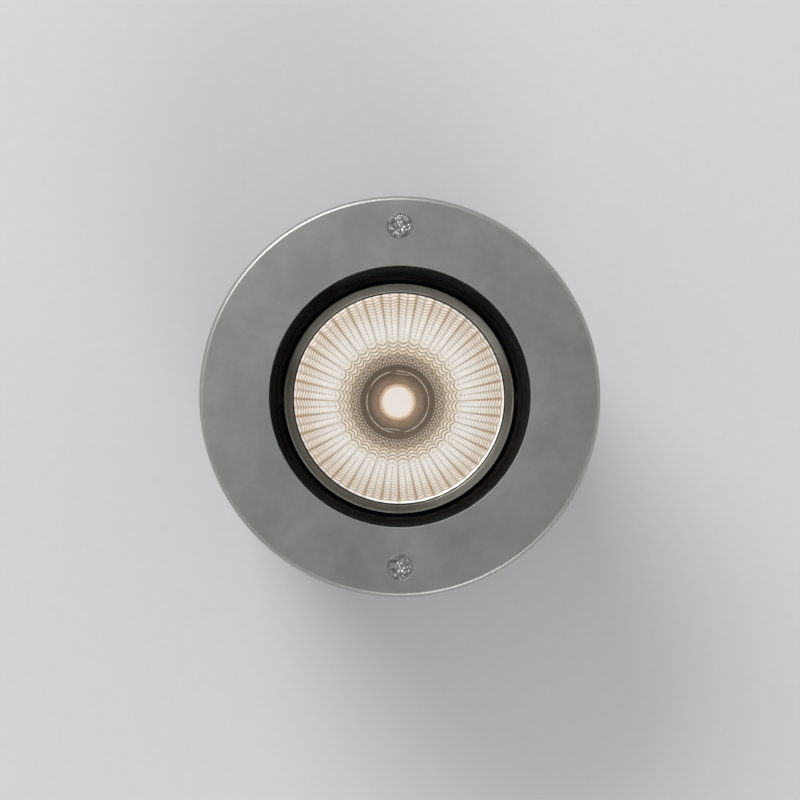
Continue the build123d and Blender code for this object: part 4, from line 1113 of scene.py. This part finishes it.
class FLOORLIGHT_OT_well(bpy.types.Operator):
    """Finish the housing, the turning ring and the optic's frame"""

    bl_idname = "floorlight.well"
    bl_label = "Housing and well"

    def execute(self, context):
        """No new surfaces: the frame's own pieces get their finishes."""
        # Die-cast aluminium, powder coated: matt near-black with a fine orange peel
        coat = finished(
            "black_powder_coat", "#1a1816", "#12110f", 0.5, 12.0,
            roughness=0.6, spread=0.07, depth_mm=0.03, Specular_IOR_Level=0.3,
        )
        dress(coat, "housing", "housing_flange", "driver_chamber", "bottom_cover", "clamp_ring")
        # Turned aluminium, anodised black: deeper and warmer than the coat, with almost no sheen
        anodised = finished(
            "black_anodised_aluminium", "#140c06", "#0b0704", 0.25, 6.0,
            roughness=0.5, depth_mm=0.008, Specular_IOR_Level=0.12,
        )
        dress(anodised, "turning_ring", "optic_cage")
        # Spring steel, phosphated: dark grey with a dull metal glint
        spring = finished(
            "phosphated_spring_steel", "#22211f", "#161514", 0.3, 4.0,
            roughness=0.45, spread=0.08, metallic=0.6,
        )
        dress(spring, "retaining_ring", "pivot_screws", "pivot_washers")
        # Extruded aluminium, bare: bright and silvery, a little uneven
        sink = finished(
            "extruded_aluminium", "#c3c4c4", "#aeb0b0", 0.3, 8.0,
            roughness=0.36, depth_mm=0.008, metallic=1.0,
        )
        dress(sink, "heat_sink")
        # Filled silicone sheet: a soft matt blue-grey
        pad = finished("thermal_pad", "#9aa0a8", "#8a9098", 0.3, 3.0, roughness=0.7)
        dress(pad, "thermal_pad")
        # Moulded acetal: waxy cream
        bush = finished("acetal_bush", "#ded4bd", "#d2c7ae", 0.3, 3.0, roughness=0.35)
        dress(bush, "pivot_bushes")
        # Moulded silicone rubber: matt black, softer than the coat
        rubber = finished(
            "black_silicone", "#1d1d1d", "#161616", 0.4, 5.0, roughness=0.6, spread=0.05
        )
        dress(rubber, "glass_gasket", "cover_seal", "lead_grommet", "gland_seals", "gland_washers")
        return {"FINISHED"}


class FLOORLIGHT_OT_below(bpy.types.Operator):
    """Finish the driver, the terminals, the glands and the ground sleeve"""

    bl_idname = "floorlight.below"
    bl_label = "Driver, glands and sleeve"

    def execute(self, context):
        """No new surfaces: the frame's own pieces get their finishes."""
        # Moulded polycarbonate, spark-eroded mould: off-white with an even satin grain
        case = finished(
            "driver_case", "#dcdcd8", "#cfcfca", 0.4, 9.0,
            roughness=0.5, spread=0.05, depth_mm=0.015,
        )
        dress(case, "driver")
        # Moulded polyamide: ivory, a little glossier than the driver
        block = finished("polyamide_terminal", "#dcd9cd", "#cfccbe", 0.4, 5.0, roughness=0.45)
        dress(block, "terminal_block")
        # Turned brass, thinly plated: pale gold, bright
        brass = finished(
            "plated_brass", "#c8b173", "#ab9459", 0.3, 3.0,
            roughness=0.3, depth_mm=0.006, metallic=1.0,
        )
        dress(brass, "terminal_screws", "sleeve_inserts", "terminal_fixings")
        # Moulded polyamide, glass-filled: black with a fine satin grain
        gland = finished(
            "black_polyamide", "#232323", "#1a1a1a", 0.35, 5.0, roughness=0.42, depth_mm=0.012
        )
        dress(gland, "gland_bodies", "gland_locknuts", "gland_caps")
        dress(gland, "breather_plug", "breather_locknut")
        # Moulded polypropylene: charcoal, waxy, with broad cloudy patches
        sleeve = finished(
            "moulded_polypropylene", "#2a2a29", "#212120", 0.6, 22.0,
            roughness=0.52, depth_mm=0.03,
        )
        dress(sleeve, "ground_sleeve")
        return {"FINISHED"}


class FLOORLIGHT_OT_stage(bpy.types.Operator):
    """Set the floor, the soft light and the camera"""

    bl_idname = "floorlight.stage"
    bl_label = "Stage"

    def execute(self, context):
        """Floor, sky, lamps and camera, in turn."""
        stage = context.scene.floor_light_stage
        self.add_floor(stage)
        self.add_sky(context.scene)
        self.add_lamps(context.scene)
        self.add_camera(context.scene, stage)
        context.scene.view_settings.view_transform = "Standard"
        return {"FINISHED"}

    def add_floor(self, stage):
        """A flat disc under the sleeve's foot, turned from one straight line. Screed, pale and
        matt: to the eye an even light grey."""
        made, tree = empty_material("pale_floor")
        place = node(tree, "TexCoord").outputs["Object"]
        fine = node(tree, "TexNoise", {"Vector": place, "Scale": 1 / (4 * MM), "Detail": 3.0})
        shaded = node(tree, "MapRange", fine, 0.3, 0.7)
        tone = overlaid(tree, tuple(stage.floor), (shaded, 0.15, "#cecece"))
        matt = node(tree, "BsdfDiffuse", {"Color": tone})
        # Seen from below the floor is clear, so that it doesn't hide the light's underside
        clear = node(tree, "BsdfTransparent")
        below = node(tree, "NewGeometry").outputs["Backfacing"]
        node(tree, "OutputMaterial", {"Surface": node(tree, "MixShader", below, matt, clear)})
        level = SLEEVE_FOOT - FLOOR_GAP
        profile = [(FLOOR_RADIUS, level), (FLOOR_HUB * FLOOR_RADIUS, level)]
        floor = turned(
            "floor", profile, made, SMALL_SIDES, wrap_rows=False, ends=(False, True)
        )

    def add_sky(self, scene):
        """A pale sky, paler towards the horizon, with a dark patch overhead, which the glass
        mirrors."""
        world = bpy.data.worlds.new("studio")
        scene.world = world
        world.use_nodes = True
        tree = world.node_tree
        tree.nodes.clear()
        place = node(tree, "TexCoord").outputs["Generated"]
        height = node(tree, "SeparateXYZ", place).outputs[2]
        sky = overlaid(
            tree,
            srgb("#eeeeef"),
            (node(tree, "MapRange", height, 0.2, 0.9), 1.0, "#b3b3b3"),
            (node(tree, "MapRange", height, 0.95, 0.985), 1.0, "#1c1c1c"),
        )
        node(tree, "OutputWorld", {"Surface": node(tree, "Background", sky, SKY_STRENGTH)})

    def add_lamps(self, scene):
        """A wide softbox up left of the light, as the photographed highlights ask for, and a weak
        fill. Both aim at the light."""
        for name, place, width, power in LAMPS:
            lamp = bpy.data.lights.new(name, "AREA")
            lamp.shape = "DISK"
            lamp.size = width
            lamp.energy = power
            holder = bpy.data.objects.new(name, lamp)
            holder.location = place
            aim = -np.array(place)
            holder.rotation_mode = "QUATERNION"
            holder.rotation_quaternion = Vector(aim).to_track_quat("-Z", "Y")
            scene.collection.objects.link(holder)

    def add_camera(self, scene, stage):
        """A camera above the trim and a little beside the axis. It looks at one point of the
        trim's plane, and the top of the picture is towards +Y."""
        camera = bpy.data.cameras.new("camera")
        camera.sensor_width = SENSOR_WIDTH
        camera.lens = SENSOR_WIDTH * stage.distance / stage.frame_width
        holder = bpy.data.objects.new("camera", camera)
        eye = np.array([stage.offset_x, stage.offset_y, TRIM_TOP + stage.distance])
        back = eye - np.array([0.0, AIM_Y, TRIM_TOP])
        back /= np.linalg.norm(back)
        right = np.cross([0.0, 1.0, 0.0], back)
        right /= np.linalg.norm(right)
        turn = np.stack([right, np.cross(back, right), back], axis=1)
        holder.location = eye
        holder.rotation_mode = "QUATERNION"
        holder.rotation_quaternion = Matrix(turn.tolist()).to_quaternion()
        scene.collection.objects.link(holder)
        scene.camera = holder


class FLOORLIGHT_PT_panel(bpy.types.Panel):
    """Lists the steps and their settings in the sidebar"""

    bl_label = "Floor light"
    bl_idname = "FLOORLIGHT_PT_panel"
    bl_space_type = "VIEW_3D"
    bl_region_type = "UI"
    bl_category = "Floor light"

    def draw(self, context):
        """One button for each step, then every size and colour."""
        for step in STEPS:
            self.layout.operator(step.bl_idname)
        for name, group in GROUPS.items():
            for key in group.__annotations__:
                self.layout.prop(getattr(context.scene, name), key)


GROUPS = {
    "floor_light_reflector": FloorLightReflector,
    "floor_light_source": FloorLightSource,
    "floor_light_finish": FloorLightFinish,
    "floor_light_stage": FloorLightStage,
}
STEPS = (
    FLOORLIGHT_OT_reflector,
    FLOORLIGHT_OT_source,
    FLOORLIGHT_OT_bezel,
    FLOORLIGHT_OT_trim,
    FLOORLIGHT_OT_well,
    FLOORLIGHT_OT_below,
    FLOORLIGHT_OT_stage,
)


def register():
    """Registers the groups, the steps and the panel, and hangs each group on the scene."""
    for name, group in GROUPS.items():
        bpy.utils.register_class(group)
        setattr(bpy.types.Scene, name, PointerProperty(type=group))
    for step in (*STEPS, FLOORLIGHT_PT_panel):
        bpy.utils.register_class(step)


def unregister():
    """Takes them away again, in the other order."""
    for step in (FLOORLIGHT_PT_panel, *reversed(STEPS)):
        bpy.utils.unregister_class(step)
    for name, group in reversed(GROUPS.items()):
        delattr(bpy.types.Scene, name)
        bpy.utils.unregister_class(group)


def main():
    """Runs every step on the frame."""
    register()
    bpy.ops.floorlight.reflector()
    bpy.ops.floorlight.source()
    bpy.ops.floorlight.bezel()
    bpy.ops.floorlight.trim()
    bpy.ops.floorlight.well()
    bpy.ops.floorlight.below()
    bpy.ops.floorlight.stage()


if __name__ == "__main__":
    main()
